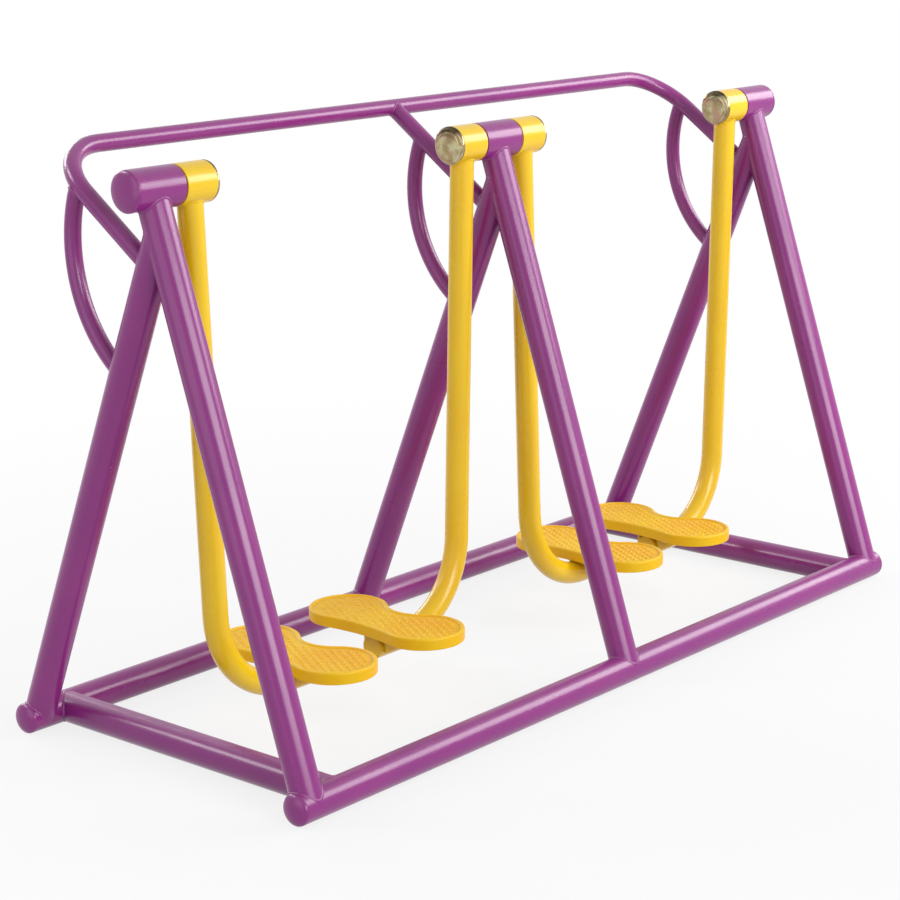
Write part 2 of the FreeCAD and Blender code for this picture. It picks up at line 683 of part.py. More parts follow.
def make_arm_tube(number, frame, way):
    name = f"arm_tube_{number}"
    body = new_body(name + "_bent")
    bend = value(ARM_BEND_RADIUS)
    straight = value(ARM_STRAIGHT)
    run_length = value(ARM_RUN)
    lean = math.radians(sheet.arm_lean)
    turn = math.pi / 2 - lean
    bend_end = Vector(bend * (1 - math.cos(turn)), -straight - bend * math.sin(turn), 0)
    tip = bend_end + Vector(math.sin(turn), -math.cos(turn), 0) * run_length
    path = new_sketch(body, name + "_path", "XZ_Plane")
    drop = path.addGeometry(Part.LineSegment(Vector(0, 0, 0), Vector(0, -straight, 0)))
    arc = path.addGeometry(Part.ArcOfCircle(
        Part.Circle(Vector(bend, -straight, 0), Vector(0, 0, 1), bend), math.pi, math.pi + turn))
    run = path.addGeometry(Part.LineSegment(bend_end, tip))
    path.addConstraint(Sketcher.Constraint("Coincident", drop, 1, -1, 1))
    path.addConstraint(Sketcher.Constraint("Vertical", drop))
    path.addConstraint(Sketcher.Constraint("Tangent", drop, 2, arc, 1))
    path.addConstraint(Sketcher.Constraint("Tangent", arc, 2, run, 1))
    bind(path, Sketcher.Constraint("Distance", drop, straight), ARM_STRAIGHT)
    bind(path, Sketcher.Constraint("Radius", arc, bend), ARM_BEND_RADIUS)
    bind(path, Sketcher.Constraint("Angle", run, -lean), f"-{ARM_LEAN}")
    bind(path, Sketcher.Constraint("Distance", run, run_length), ARM_RUN)
    section = new_sketch(body, name + "_section", "XY_Plane")
    draw_circle(section, ARM_RADIUS)
    draw_circle(section, f"{ARM_RADIUS} - Sizes.arm_wall")
    sweep = body.newObject("PartDesign::AdditivePipe", name + "_sweep")
    sweep.Profile = section
    sweep.Spine = path
    turns = [(ABOUT_Z, f"{90 - 90 * way}"), (ABOUT_Y, f"-{ARM_LEAN}")]
    place(body, along_hub(frame, way, HOUSING_MIDDLE), HUB_Y, HUB_Z, turns)
    housing = hub_rod(name + "_housing_cutter", frame, way, HOUSING_START, HOUSING_END,
                      "Sizes.housing_diameter")
    keep(cut(name, body, housing), name)

    plug = tube_cap(f"arm_end_plug_{number}", ARM_RADIUS, "Sizes.arm_wall", "Sizes.cap_spigot",
                    "Sizes.arm_plug_rim", "Sizes.arm_plug_dome")
    tip_x = along_hub(frame, way, f"({HOUSING_MIDDLE} + {PLATE_REACH} + Sizes.arm_overrun)")
    place(plug, tip_x, HUB_Y, f"{HUB_Z} - {ARM_DROP}", CAP_TURNS[way])
    keep(plug, f"arm_end_plug_{number}")


# Footplate: all four are the same casting, toe towards the handrail

def tangent_centre(first, first_radius, second, second_radius, radius, side):
    """Centre of an arc that touches two circles from outside, on the given side of them."""
    a = first_radius + radius
    b = second_radius + radius
    line = second - first
    gap = line.Length
    along = (a * a - b * b + gap * gap) / (2 * gap)
    across = math.sqrt(a * a - along * along)
    unit = line / gap
    return first + unit * along + Vector(-unit.y, unit.x, 0) * across * side


def arc_through(centre, radius, start, end):
    """An arc anticlockwise from start to end."""
    first = math.atan2(start.y - centre.y, start.x - centre.x)
    last = math.atan2(end.y - centre.y, end.x - centre.x)
    return Part.ArcOfCircle(Part.Circle(centre, Vector(0, 0, 1), radius), first, last)


def draw_sole(sketch, inset):
    """The sole's outline moved inward by inset: toe and heel rounds joined by two hollow flanks."""
    toe = Vector(sheet.toe_shift, sheet.toe_reach, 0)
    heel = Vector(-sheet.toe_shift, -sheet.heel_reach, 0)
    arch = tangent_centre(toe, sheet.toe_radius, heel, sheet.heel_radius, sheet.arch_radius, 1)
    flank = tangent_centre(toe, sheet.toe_radius, heel, sheet.heel_radius, sheet.flank_radius, -1)

    def touch(centre, radius, other):
        return centre + (other - centre).normalize() * radius

    toe_arch = touch(toe, sheet.toe_radius, arch)
    toe_flank = touch(toe, sheet.toe_radius, flank)
    heel_arch = touch(heel, sheet.heel_radius, arch)
    heel_flank = touch(heel, sheet.heel_radius, flank)
    toe_arc = sketch.addGeometry(arc_through(toe, sheet.toe_radius, toe_arch, toe_flank))
    flank_arc = sketch.addGeometry(arc_through(flank, sheet.flank_radius, heel_flank, toe_flank))
    heel_arc = sketch.addGeometry(arc_through(heel, sheet.heel_radius, heel_flank, heel_arch))
    arch_arc = sketch.addGeometry(arc_through(arch, sheet.arch_radius, toe_arch, heel_arch))
    for first, end, second, start in ((toe_arc, 2, flank_arc, 2), (flank_arc, 1, heel_arc, 1),
                                      (heel_arc, 2, arch_arc, 2), (arch_arc, 1, toe_arc, 1)):
        sketch.addConstraint(Sketcher.Constraint("Tangent", first, end, second, start))
    pin_point(sketch, toe_arc, 3, "Sizes.toe_shift", "Sizes.toe_reach")
    pin_point(sketch, heel_arc, 3, "-Sizes.toe_shift", "-Sizes.heel_reach")
    for arc, alias, sign in ((toe_arc, "toe_radius", "-"), (heel_arc, "heel_radius", "-"),
                             (arch_arc, "arch_radius", "+"), (flank_arc, "flank_radius", "+")):
        radius = Sketcher.Constraint("Radius", arc, value(f"Sizes.{alias}"))
        bind(sketch, radius, f"Sizes.{alias} {sign} {inset}")


def draw_bolt_circles(sketch, radius):
    for x in ("-", ""):
        for y in ("-", ""):
            draw_circle(sketch, radius, f"{x}Sizes.bolt_spacing_x / 2", f"{y}Sizes.bolt_spacing_y / 2")


def stud_rows(body, name, x, y, columns, rows):
    """A block of round anti-slip studs whose first one is at x, y."""
    first = new_sketch(body, name + "_first", "XY_Plane", "Sizes.footplate_height - Sizes.tread_recess")
    draw_circle(first, "Sizes.stud_diameter / 2", x, y)
    stud = pad(body, first, "Sizes.stud_height", name + "_stud")
    pattern = body.newObject("PartDesign::MultiTransform", name)
    steps = []
    for direction, count in (("H_Axis", columns), ("V_Axis", rows)):
        step = body.newObject("PartDesign::LinearPattern", f"{name}_{direction[0].lower()}")
        step.Direction = (first, [direction])
        step.Occurrences = count
        step.setExpression("Length", f"{count - 1} * Sizes.stud_pitch")
        steps.append(step)
    pattern.Originals = [stud]
    pattern.Transformations = steps
    body.Tip = pattern


def make_footplate(number, frame, way):
    name = f"footplate_{number}"
    body = new_body(name)
    outline = new_sketch(body, name + "_outline", "XY_Plane")
    draw_sole(outline, "0")
    block = pad(body, outline, "Sizes.footplate_height", name + "_block")
    doc.recompute()
    middle_z = block.Shape.BoundBox.Center.z
    rim_edges = [edge for edge in block.Shape.Edges if edge.BoundBox.ZMin > middle_z]
    soften(body, block, rim_edges, "Sizes.rim_rounding", name + "_rounded_rim")

    recess = new_sketch(body, name + "_recess", "XY_Plane", "Sizes.footplate_height")
    draw_sole(recess, "Sizes.rim_width")
    pocket(body, recess, name + "_tread", "Sizes.tread_recess")

    hollow_depth = "(Sizes.footplate_height - Sizes.tread_recess - Sizes.tread_thickness)"
    hollow = new_sketch(body, name + "_hollow", "XY_Plane")
    draw_sole(hollow, "Sizes.skirt_wall")
    pocket(body, hollow, name + "_underside", hollow_depth, upward=True)

    bosses = new_sketch(body, name + "_bosses", "XY_Plane")
    draw_bolt_circles(bosses, "Sizes.boss_diameter / 2")
    pad(body, bosses, f"{hollow_depth} + Sizes.tread_thickness / 2", name + "_boss_pads")
    holes = new_sketch(body, name + "_holes", "XY_Plane")
    draw_bolt_circles(holes, "(Sizes.bolt_diameter + Sizes.bolt_clearance) / 2")
    pocket(body, holes, name + "_boss_holes", "Sizes.boss_hole_depth", upward=True)

    toe_columns = "Sizes.toe_shift - 2 * Sizes.stud_pitch"
    heel_columns = "-Sizes.toe_shift - 2 * Sizes.stud_pitch"
    stud_rows(body, name + "_toe_studs", toe_columns, "Sizes.toe_reach - 2 * Sizes.stud_pitch", 5, 5)
    stud_rows(body, name + "_heel_studs", heel_columns, "-Sizes.heel_reach - 2 * Sizes.stud_pitch", 5, 5)
    stud_rows(body, name + "_waist_studs", heel_columns, "-1.5 * Sizes.stud_pitch", 4, 4)

    x = f"{FRAMES[frame]} + {way} * (Sizes.frame_spacing - Sizes.footplate_spacing) / 2"
    keep(place(body, x, HUB_Y, f"{HUB_Z} - Sizes.footplate_drop - Sizes.footplate_height"), name)


def make_saddle(number, frame, way):
    """Plate with two cheeks, welded over the arm tube, and the four bolts up into the footplate."""
    name = f"footplate_saddle_{number}"
    body = new_body(name)
    side = "Sizes.saddle_width / 2"
    cheek = f"({ARM_RADIUS} + Sizes.cheek_thickness)"
    profile = new_sketch(body, name + "_profile", "YZ_Plane")
    top = f"({ARM_RADIUS} + Sizes.saddle_thickness)"
    draw_lines(profile, [
        (side, ARM_RADIUS),
        (side, top),
        (f"-{side}", top),
        (f"-{side}", ARM_RADIUS),
        (f"-{cheek}", ARM_RADIUS),
        (f"-{cheek}", "-Sizes.cheek_depth"),
        (f"-{ARM_RADIUS}", "-Sizes.cheek_depth"),
        (f"-{ARM_RADIUS}", ARM_RADIUS),
        (ARM_RADIUS, ARM_RADIUS),
        (ARM_RADIUS, "-Sizes.cheek_depth"),
        (cheek, "-Sizes.cheek_depth"),
        (cheek, ARM_RADIUS),
    ])
    pad(body, profile, "Sizes.saddle_length", name + "_section", both_ways=True)
    holes = new_sketch(body, name + "_holes", "XY_Plane")
    draw_bolt_circles(holes, "(Sizes.bolt_diameter + Sizes.bolt_clearance) / 2")
    pocket(body, holes, name + "_bolt_holes")
    x = f"{FRAMES[frame]} + {way} * (Sizes.frame_spacing - Sizes.footplate_spacing) / 2"
    z = f"{HUB_Z} - {ARM_DROP}"
    keep(place(body, x, HUB_Y, z), name)

    bolts = []
    for column in ("-", "+"):
        for row in ("-", "+"):
            bolt = f"bolt_{number}_{len(bolts)}"
            bolt_x = f"{x} {column} Sizes.bolt_spacing_x / 2"
            bolt_y = f"{HUB_Y} {row} Sizes.bolt_spacing_y / 2"
            head_z = f"{z} + {ARM_RADIUS} - Sizes.bolt_head_height"
            head = doc.addObject("Part::Prism", bolt + "_head")
            head.Polygon = 6
            head.setExpression("Circumradius", "Sizes.bolt_head_across_flats / sqrt(3)")
            head.setExpression("Height", "Sizes.bolt_head_height")
            place(head, bolt_x, bolt_y, head_z)
            shank_length = "Sizes.bolt_head_height + Sizes.saddle_thickness + Sizes.bolt_grip_depth"
            shank = cylinder(bolt + "_shank", "Sizes.bolt_diameter / 2", shank_length, bolt_x, bolt_y, head_z)
            joined = doc.addObject("Part::Fuse", bolt)
            joined.Base = head
            joined.Tool = shank
            bolts.append(joined)
    group(f"footplate_bolts_{number}", bolts)


make_base()
make_legs()
make_handrail()
make_sleeves()
make_axles()
make_axle_fittings()
for arm in ARMS:
    make_hub(*arm)
    make_arm_tube(*arm)
    make_footplate(*arm)
    make_saddle(*arm)
doc.recompute()

failed = [item.Name for item in doc.Objects if "Invalid" in item.State or "Error" in item.State]
if failed:
    raise RuntimeError("Failed to compute: " + ", ".join(failed))
for node in nodes:
    if node.Shape.isNull() or not node.Shape.isValid() or not node.Shape.Solids:
        raise RuntimeError(node.Label + " has no valid solid")

os.makedirs("parts", exist_ok=True)
for node in nodes:
    node.Shape.exportStep(f"parts/{node.Label}.step")
print(len(nodes), "nodes written")
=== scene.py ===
import math

import bmesh
import bpy
from mathutils import Matrix, Vector


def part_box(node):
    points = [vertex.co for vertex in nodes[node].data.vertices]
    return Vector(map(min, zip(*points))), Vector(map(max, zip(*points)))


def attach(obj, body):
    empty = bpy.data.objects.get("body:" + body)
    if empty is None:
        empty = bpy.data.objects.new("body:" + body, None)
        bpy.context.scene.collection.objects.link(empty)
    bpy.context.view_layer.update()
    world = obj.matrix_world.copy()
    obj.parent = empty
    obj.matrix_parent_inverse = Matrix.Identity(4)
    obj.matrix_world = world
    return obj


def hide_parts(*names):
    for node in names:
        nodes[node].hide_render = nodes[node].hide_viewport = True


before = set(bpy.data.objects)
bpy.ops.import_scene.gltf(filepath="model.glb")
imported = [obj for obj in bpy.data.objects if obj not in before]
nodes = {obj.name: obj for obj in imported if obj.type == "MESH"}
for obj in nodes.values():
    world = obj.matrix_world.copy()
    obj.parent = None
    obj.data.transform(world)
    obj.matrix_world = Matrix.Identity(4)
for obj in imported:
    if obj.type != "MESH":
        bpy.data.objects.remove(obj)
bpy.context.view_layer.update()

scene = bpy.context.scene


# Base tubes and A-frame legs: steel pipe, welded together and then powder-coated in one go with
# the rest of the frame, a glossy purple. The coat has the fine orange peel of baked powder, a
# little dust on the faces that look up, and a few small nicks.

def new_group(name, inputs, outputs):
    """A shader node group with named number inputs and outputs, and its two end nodes."""
    group = bpy.data.node_groups.new(name, "ShaderNodeTree")
    for label, amount in inputs.items():
        socket = group.interface.new_socket(label, in_out="INPUT", socket_type="NodeSocketFloat")
        socket.default_value = amount
    for label in outputs:
        group.interface.new_socket(label, in_out="OUTPUT", socket_type="NodeSocketFloat")
    return group, group.nodes.new("NodeGroupInput").outputs, group.nodes.new("NodeGroupOutput").inputs


def add(tree, kind, inputs=None, **settings):
    """A node of that kind; each input gets a plain value or is linked to another node's output."""
    node = tree.nodes.new(kind)
    for key, setting in settings.items():
        setattr(node, key, setting)
    for key, value in (inputs or {}).items():
        if isinstance(value, bpy.types.NodeSocket):
            tree.links.new(value, node.inputs[key])
        else:
            node.inputs[key].default_value = value
    return node


def noise(tree, vector, scale, detail=2.0, roughness=0.5):
    """Smooth random grain: scale is the number of grains to a metre."""
    inputs = {"Vector": vector, "Scale": scale, "Detail": detail, "Roughness": roughness}
    return add(tree, "ShaderNodeTexNoise", inputs).outputs["Fac"]


def ramp(tree, value, low, high, to_low=0.0, to_high=1.0):
    """Value stretched from low..high to to_low..to_high, held at both ends."""
    inputs = {"Value": value, "From Min": low, "From Max": high, "To Min": to_low, "To Max": to_high}
    return add(tree, "ShaderNodeMapRange", inputs).outputs["Result"]


def maths(tree, operation, first, second):
    """The result of a two-number operation."""
    return add(tree, "ShaderNodeMath", {0: first, 1: second}, operation=operation).outputs[0]


def blend_colour(tree, amount, first, second):
    """First colour where amount is 0, second where it is 1."""
    node = add(tree, "ShaderNodeMix", data_type="RGBA")
    colour_inputs = [socket for socket in node.inputs if socket.type == "RGBA"]
    for socket, value in zip(colour_inputs, (first, second)):
        if isinstance(value, bpy.types.NodeSocket):
            tree.links.new(value, socket)
        else:
            socket.default_value = (*value, 1.0)
    tree.links.new(amount, node.inputs[0])
    return next(socket for socket in node.outputs if socket.type == "RGBA")


def coat_film_group():
    """Baked powder coat: orange peel as height, and masks for mottle, small chips and dust."""
    group, given, result = new_group("coat_film", {"Peel Scale": 1.0, "Chip Scale": 1.0},
                                     ["Height", "Mottle", "Chips", "Dust"])
    place = add(group, "ShaderNodeTexCoord").outputs["Object"]
    group.links.new(noise(group, place, scale=given["Peel Scale"], detail=1.5), result["Height"])
    clouds = noise(group, place, scale=6.0, detail=3.0)
    group.links.new(ramp(group, clouds, low=0.25, high=0.75), result["Mottle"])
    cells = add(group, "ShaderNodeTexVoronoi", {"Vector": place, "Scale": given["Chip Scale"]})
    chosen = add(group, "ShaderNodeSeparateColor", {0: cells.outputs["Color"]}).outputs[0]
    near_middle = ramp(group, cells.outputs["Distance"], low=0.02, high=0.06, to_low=1.0, to_high=0.0)
    few_cells = ramp(group, chosen, low=0.90, high=0.92)
    group.links.new(maths(group, "MULTIPLY", near_middle, few_cells), result["Chips"])
    normal = add(group, "ShaderNodeNewGeometry").outputs["Normal"]
    upward = add(group, "ShaderNodeSeparateXYZ", {0: normal}).outputs["Z"]
    facing_up = ramp(group, upward, low=0.3, high=1.0)
    settled = noise(group, place, scale=18.0, detail=5.0, roughness=0.6)
    group.links.new(maths(group, "MULTIPLY", facing_up, settled), result["Dust"])
    return group


coat_film = coat_film_group()
DUST_COLOUR = (0.45, 0.41, 0.35)
PEEL_SCALE = 800.0
CHIP_DULLNESS = 0.3
DUST_DULLNESS = 0.12


def new_material(name):
    """A new material with its node tree and its Principled BSDF."""
    material = bpy.data.materials.new(name)
    material.use_nodes = True
    return material, material.node_tree, material.node_tree.nodes["Principled BSDF"]


def powder_coat(name, colour, deep_colour, chip_colour, dust_share):
    """Glossy powder coat; deep colour shows in mottled places, chip colour where it is nicked."""
    material, tree, shader = new_material(name)
    film = add(tree, "ShaderNodeGroup", node_tree=coat_film)
    film.inputs["Peel Scale"].default_value = PEEL_SCALE
    film.inputs["Chip Scale"].default_value = 34.0
    mask = film.outputs
    tone = blend_colour(tree, mask["Mottle"], colour, deep_colour)
    tone = blend_colour(tree, mask["Chips"], tone, chip_colour)
    tone = blend_colour(tree, maths(tree, "MULTIPLY", mask["Dust"], dust_share), tone, DUST_COLOUR)
    tree.links.new(tone, shader.inputs["Base Color"])
    clean = ramp(tree, mask["Mottle"], low=0.0, high=1.0, to_low=0.22, to_high=0.30)
    dulled = maths(tree, "ADD", maths(tree, "MULTIPLY", mask["Chips"], CHIP_DULLNESS),
                   maths(tree, "MULTIPLY", mask["Dust"], DUST_DULLNESS))
    roughness = maths(tree, "ADD", clean, dulled)
    tree.links.new(roughness, shader.inputs["Roughness"])
    bump = add(tree, "ShaderNodeBump", {"Strength": 0.6, "Distance": 0.00002, "Height": mask["Height"]})
    tree.links.new(bump.outputs["Normal"], shader.inputs["Normal"])
    shader.inputs["IOR"].default_value = 1.45
    shader.inputs["Coat Weight"].default_value = 0.15
    shader.inputs["Coat Roughness"].default_value = 0.15
    return material


purple_coat = powder_coat("purple_powder_coat", colour=(0.230, 0.018, 0.176),
                          deep_colour=(0.195, 0.013, 0.160), chip_colour=(0.32, 0.08, 0.25),
                          dust_share=0.08)


def finish_nodes(material, *names):
    """Give CAD pieces their finish."""
    for name in names:
        mesh = nodes[name].data
        for slot in range(len(mesh.materials)):
            mesh.materials[slot] = material


FRAME_SIDES = ("left", "middle", "right")
base_rails = [f"base_rail_{side}" for side in ("front", "rear", "left", "right")]
legs = [f"{end}_leg_{side}" for end in ("front", "rear") for side in FRAME_SIDES]
finish_nodes(purple_coat, *base_rails, *legs)


# Welds of the base and the legs: one run of weld all round each pipe end, laid by hand, so
# that it shows the small overlapping ripples of the weld pool under the paint.

def centre_of(node):
    """The middle of a node's box at rest."""
    low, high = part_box(node)
    return (low + high) / 2


WELD_SMOOTHINGS = 24
MEETING_TOLERANCE = 1e-6


def straight(first, last):
    """A straight axis; along(0) is first and along(1) is last, each with the direction there."""
    direction = (last - first).normalized()
    return lambda along: (first.lerp(last, along), direction)


def meeting_line(path, radius, normal, host_point, host_direction, host_radius, steps=96):
    """The closed line where a tube round path, coming from outside, first meets a round host.

    Each place comes with the way out of the corner between the two, 2 long where they lie flush.
    """
    line = []
    for step in range(steps):
        angle = 2 * math.pi * step / steps
        outside, inside = 0.0, 1.0
        while inside - outside > MEETING_TOLERANCE:
            along = (outside + inside) / 2
            centre, direction = path(along)
            tube_out = normal * math.cos(angle) + direction.cross(normal) * math.sin(angle)
            point = centre + tube_out * radius
            if (point - host_point).cross(host_direction).length > host_radius:
                outside = along
            else:
                inside = along
        from_host = point - host_point
        host_out = (from_host - host_direction * from_host.dot(host_direction)).normalized()
        line.append((point, tube_out + host_out))
    for _ in range(WELD_SMOOTHINGS):
        line = [tuple((before + here * 2 + after) / 4
                      for before, here, after in zip(line[i - 1], line[i], line[(i + 1) % steps]))
                for i in range(steps)]
    return line


def even_places(line, spacing):
    """The closed line again, with its places at even distances near spacing."""
    following = line[1:] + line[:1]
    lengths = [(after[0] - here[0]).length for here, after in zip(line, following)]
    count = round(sum(lengths) / spacing)
    spacing = sum(lengths) / count
    places = []
    passed = 0.0
    for here, after, length in zip(line, following, lengths):
        while len(places) < count and len(places) * spacing < passed + length:
            share = (len(places) * spacing - passed) / length
            places.append((here[0].lerp(after[0], share), here[1].lerp(after[1], share)))
        passed += length
    return places


def bridge(mesh, first, second):
    """Faces between two rings; a ring of one point is the tip of a fan."""
    count = max(len(first), len(second))
    for i in range(count):
        j = (i + 1) % count
        corners = [first[i % len(first)], first[j % len(first)],
                   second[j % len(second)], second[i % len(second)]]
        mesh.faces.new(list(dict.fromkeys(corners)))


RIPPLE_PITCH = 0.0030
STEPS_PER_RIPPLE = 5
RIPPLE_DEPTH = 0.14
RIPPLE_MIDDLE = 0.6
RIPPLE_BOW = 0.3
BEAD_RING_POINTS = 10
CORNER_BEAD_HEIGHT = 1.55
FLUSH_BEAD_LOSS = 1.20
BEAD_SPREAD = 1.1


def ripple(phase):
    """How far the bead swells there; the phase goes up by 1 from one ripple to the next."""
    return 1 + RIPPLE_DEPTH * (abs(math.sin(math.pi * phase)) - RIPPLE_MIDDLE)


def add_bead(mesh, line, bead_radius):
    """A rippled weld run along a closed line, flat where the parts lie flush, and above the ground."""
    places = even_places(line, RIPPLE_PITCH / STEPS_PER_RIPPLE)
    ripples = max(1, round(len(places) / STEPS_PER_RIPPLE))
    rings = []
    for i, (point, out) in enumerate(places):
        flushness = out.length / 2
        height = bead_radius * (CORNER_BEAD_HEIGHT - FLUSH_BEAD_LOSS * flushness ** 2)
        tangent = (places[(i + 1) % len(places)][0] - places[i - 1][0]).normalized()
        out = (out - tangent * out.dot(tangent)).normalized()
        side = tangent.cross(out)
        ring = []
        for j in range(BEAD_RING_POINTS):
            angle = 2 * math.pi * j / BEAD_RING_POINTS
            swell = ripple(ripples * i / len(places) + RIPPLE_BOW * math.cos(angle))
            up = out * math.cos(angle) * height
            across = side * math.sin(angle) * bead_radius * BEAD_SPREAD
            place = point + (up + across) * swell
            place.z = max(place.z, 0.0)
            ring.append(mesh.verts.new(place))
        rings.append(ring)
    for i, ring in enumerate(rings):
        bridge(mesh, ring, rings[(i + 1) % len(rings)])


def new_piece(name, mesh, material, body):
    """A finished mesh as a piece of the model that rides on a body."""
    bmesh.ops.recalc_face_normals(mesh, faces=mesh.faces)
    data = bpy.data.meshes.new(name)
    mesh.to_mesh(data)
    mesh.free()
    data.materials.append(material)
    data.shade_smooth()
    piece = bpy.data.objects.new(name, data)
    scene.collection.objects.link(piece)
    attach(piece, body)
    return piece


ALONG_X = Vector((1, 0, 0))
ALONG_Y = Vector((0, 1, 0))
LEG_JOINT_DROP = 0.076
LEG_BEAD = 0.0036

rail_low, rail_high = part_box("base_rail_front")
pipe_radius = (rail_high.z - rail_low.z) / 2
front_rail = centre_of("base_rail_front")
rear_rail = centre_of("base_rail_rear")
hub = centre_of("axle_sleeve_middle")
sleeve_low, sleeve_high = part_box("axle_sleeve_middle")
sleeve_radius = (sleeve_high.z - sleeve_low.z) / 2
frame_x = {side: centre_of(f"axle_sleeve_{side}").x for side in FRAME_SIDES}

leg_welds = bmesh.new()
for side, x in frame_x.items():
    front_foot = Vector((x, front_rail.y, front_rail.z))
    rear_foot = Vector((x, rear_rail.y, rear_rail.z))
    top = Vector((x, hub.y, hub.z))
    share = LEG_JOINT_DROP / (top.z - front_foot.z)
    rear_top = top.lerp(front_foot, share)
    front_direction = (top - front_foot).normalized()
    joints = [
        (straight(top, front_foot), front_foot, ALONG_X, pipe_radius),
        (straight(rear_top, rear_foot), rear_foot, ALONG_X, pipe_radius),
        (straight(front_foot, top), top, ALONG_X, sleeve_radius),
        (straight(rear_foot, rear_top), rear_top, front_direction, pipe_radius),
    ]
    for path, host_point, host_direction, host_radius in joints:
        line = meeting_line(path, pipe_radius, ALONG_X, host_point, host_direction, host_radius)
        add_bead(leg_welds, line, LEG_BEAD)
for side in ("left", "right"):
    x = centre_of(f"base_rail_{side}").x
    middle = Vector((x, 0, front_rail.z))
    for rail in (front_rail, rear_rail):
        host_point = Vector((x, rail.y, rail.z))
        line = meeting_line(straight(middle, host_point), pipe_radius, ALONG_X,
                            host_point, ALONG_X, pipe_radius)
        add_bead(leg_welds, line, LEG_BEAD)
new_piece("leg_and_rail_welds", leg_welds, purple_coat, "frame")


# Cross sleeves on top of the A-frames: short lengths of thick tube, purple like the legs. The
# shafts in them, and the rings that hold the shafts, are bare turned steel. The bearings' rings
# and spacers are ground steel, and the nuts and washers that clamp them are zinc-plated.

def turned_metal_group():
    """Marks of turning round the hub axis: fine rings as height, and a slow change of tone."""
    group, given, result = new_group("turned_metal",
                                     {"Centre Y": 0.0, "Centre Z": 0.0, "Ring Scale": 1.0},
                                     ["Height", "Tone"])
    place = add(group, "ShaderNodeTexCoord").outputs["Object"]
    centre = add(group, "ShaderNodeCombineXYZ", {"Y": given["Centre Y"], "Z": given["Centre Z"]})
    from_axis = add(group, "ShaderNodeVectorMath", {0: place, 1: centre.outputs[0]}, operation="SUBTRACT")
    flat = add(group, "ShaderNodeVectorMath", {0: from_axis.outputs[0], 1: (0.0, 1.0, 1.0)},
               operation="MULTIPLY")
    distance = add(group, "ShaderNodeVectorMath", {0: flat.outputs[0]}, operation="LENGTH")
    rings_place = add(group, "ShaderNodeCombineXYZ", {"X": distance.outputs["Value"]}).outputs[0]
    rings = noise(group, rings_place, scale=given["Ring Scale"], detail=3.0, roughness=0.7)
    group.links.new(rings, result["Height"])
    stains = noise(group, place, scale=60.0, detail=4.0)
    group.links.new(ramp(group, stains, low=0.3, high=0.7), result["Tone"])
    return group


turned_metal = turned_metal_group()
CORNER_SPREAD = 1.3


def soft_corners(corners, closed=False, steps=4):
    """A profile with rounded corners; each corner is (x, y, radius), and reaches 1.3 radii along."""
    profile = []
    for i, (x, y, radius) in enumerate(corners):
        at_end = i in (0, len(corners) - 1)
        if radius == 0 or (at_end and not closed):
            profile.append((x, y))
            continue
        corner = Vector((x, y))
        before = (Vector(corners[i - 1][:2]) - corner).normalized() * radius
        after = (Vector(corners[(i + 1) % len(corners)][:2]) - corner).normalized() * radius
        profile.append(tuple(corner + before * CORNER_SPREAD))
        for step in range(steps + 1):
            along = step / steps
            first = (corner + before).lerp(corner, along)
            profile.append(tuple(first.lerp(corner.lerp(corner + after, along), along)))
        profile.append(tuple(corner + after * CORNER_SPREAD))
    return profile


def turn(mesh, profile, centre, axis, closed=False, steps=96):
    """A turned shape; the profile lists (distance along the axis, radius), and radius 0 is a tip."""
    side = axis.orthogonal().normalized()
    other = axis.cross(side)
    rings = []
    for along, radius in profile:
        middle = centre + axis * along
        if radius == 0:
            rings.append([mesh.verts.new(middle)])
            continue
        angles = [2 * math.pi * step / steps for step in range(steps)]
        rings.append([mesh.verts.new(middle + (side * math.cos(a) + other * math.sin(a)) * radius)
                      for a in angles])
    for first, second in zip(rings, rings[1:]):
        bridge(mesh, first, second)
    if closed:
        bridge(mesh, rings[-1], rings[0])


def turned_tube(start, end, bore_radius, outer_radius, edge):
    """A tube along the hub axis, its edges rounded, the inner ones by half as much."""
    mesh = bmesh.new()
    length = end - start
    inner_edge = edge / 2
    corners = [(0, bore_radius, inner_edge), (0, outer_radius, edge),
               (length, outer_radius, edge), (length, bore_radius, inner_edge)]
    profile = soft_corners(corners, closed=True)
    turn(mesh, profile, Vector((start, hub.y, hub.z)), ALONG_X, closed=True)
    return mesh


RING_SCALE = 900.0


def steel(name, colour, stained_colour, roughness, ring_depth):
    """Bare or plated metal, turned about the hub axis; roughness is a clean and a stained value."""
    material, tree, shader = new_material(name)
    marks = add(tree, "ShaderNodeGroup", node_tree=turned_metal)
    marks.inputs["Centre Y"].default_value = hub.y
    marks.inputs["Centre Z"].default_value = hub.z
    marks.inputs["Ring Scale"].default_value = RING_SCALE
    tone = blend_colour(tree, marks.outputs["Tone"], colour, stained_colour)
    tree.links.new(tone, shader.inputs["Base Color"])
    clean, stained = roughness
    dulled = ramp(tree, marks.outputs["Tone"], low=0.0, high=1.0, to_low=clean, to_high=stained)
    tree.links.new(dulled, shader.inputs["Roughness"])
    bump = add(tree, "ShaderNodeBump", {"Strength": 0.5, "Distance": ring_depth,
                                        "Height": marks.outputs["Height"]})
    tree.links.new(bump.outputs["Normal"], shader.inputs["Normal"])
    shader.inputs["Metallic"].default_value = 1.0
    return material


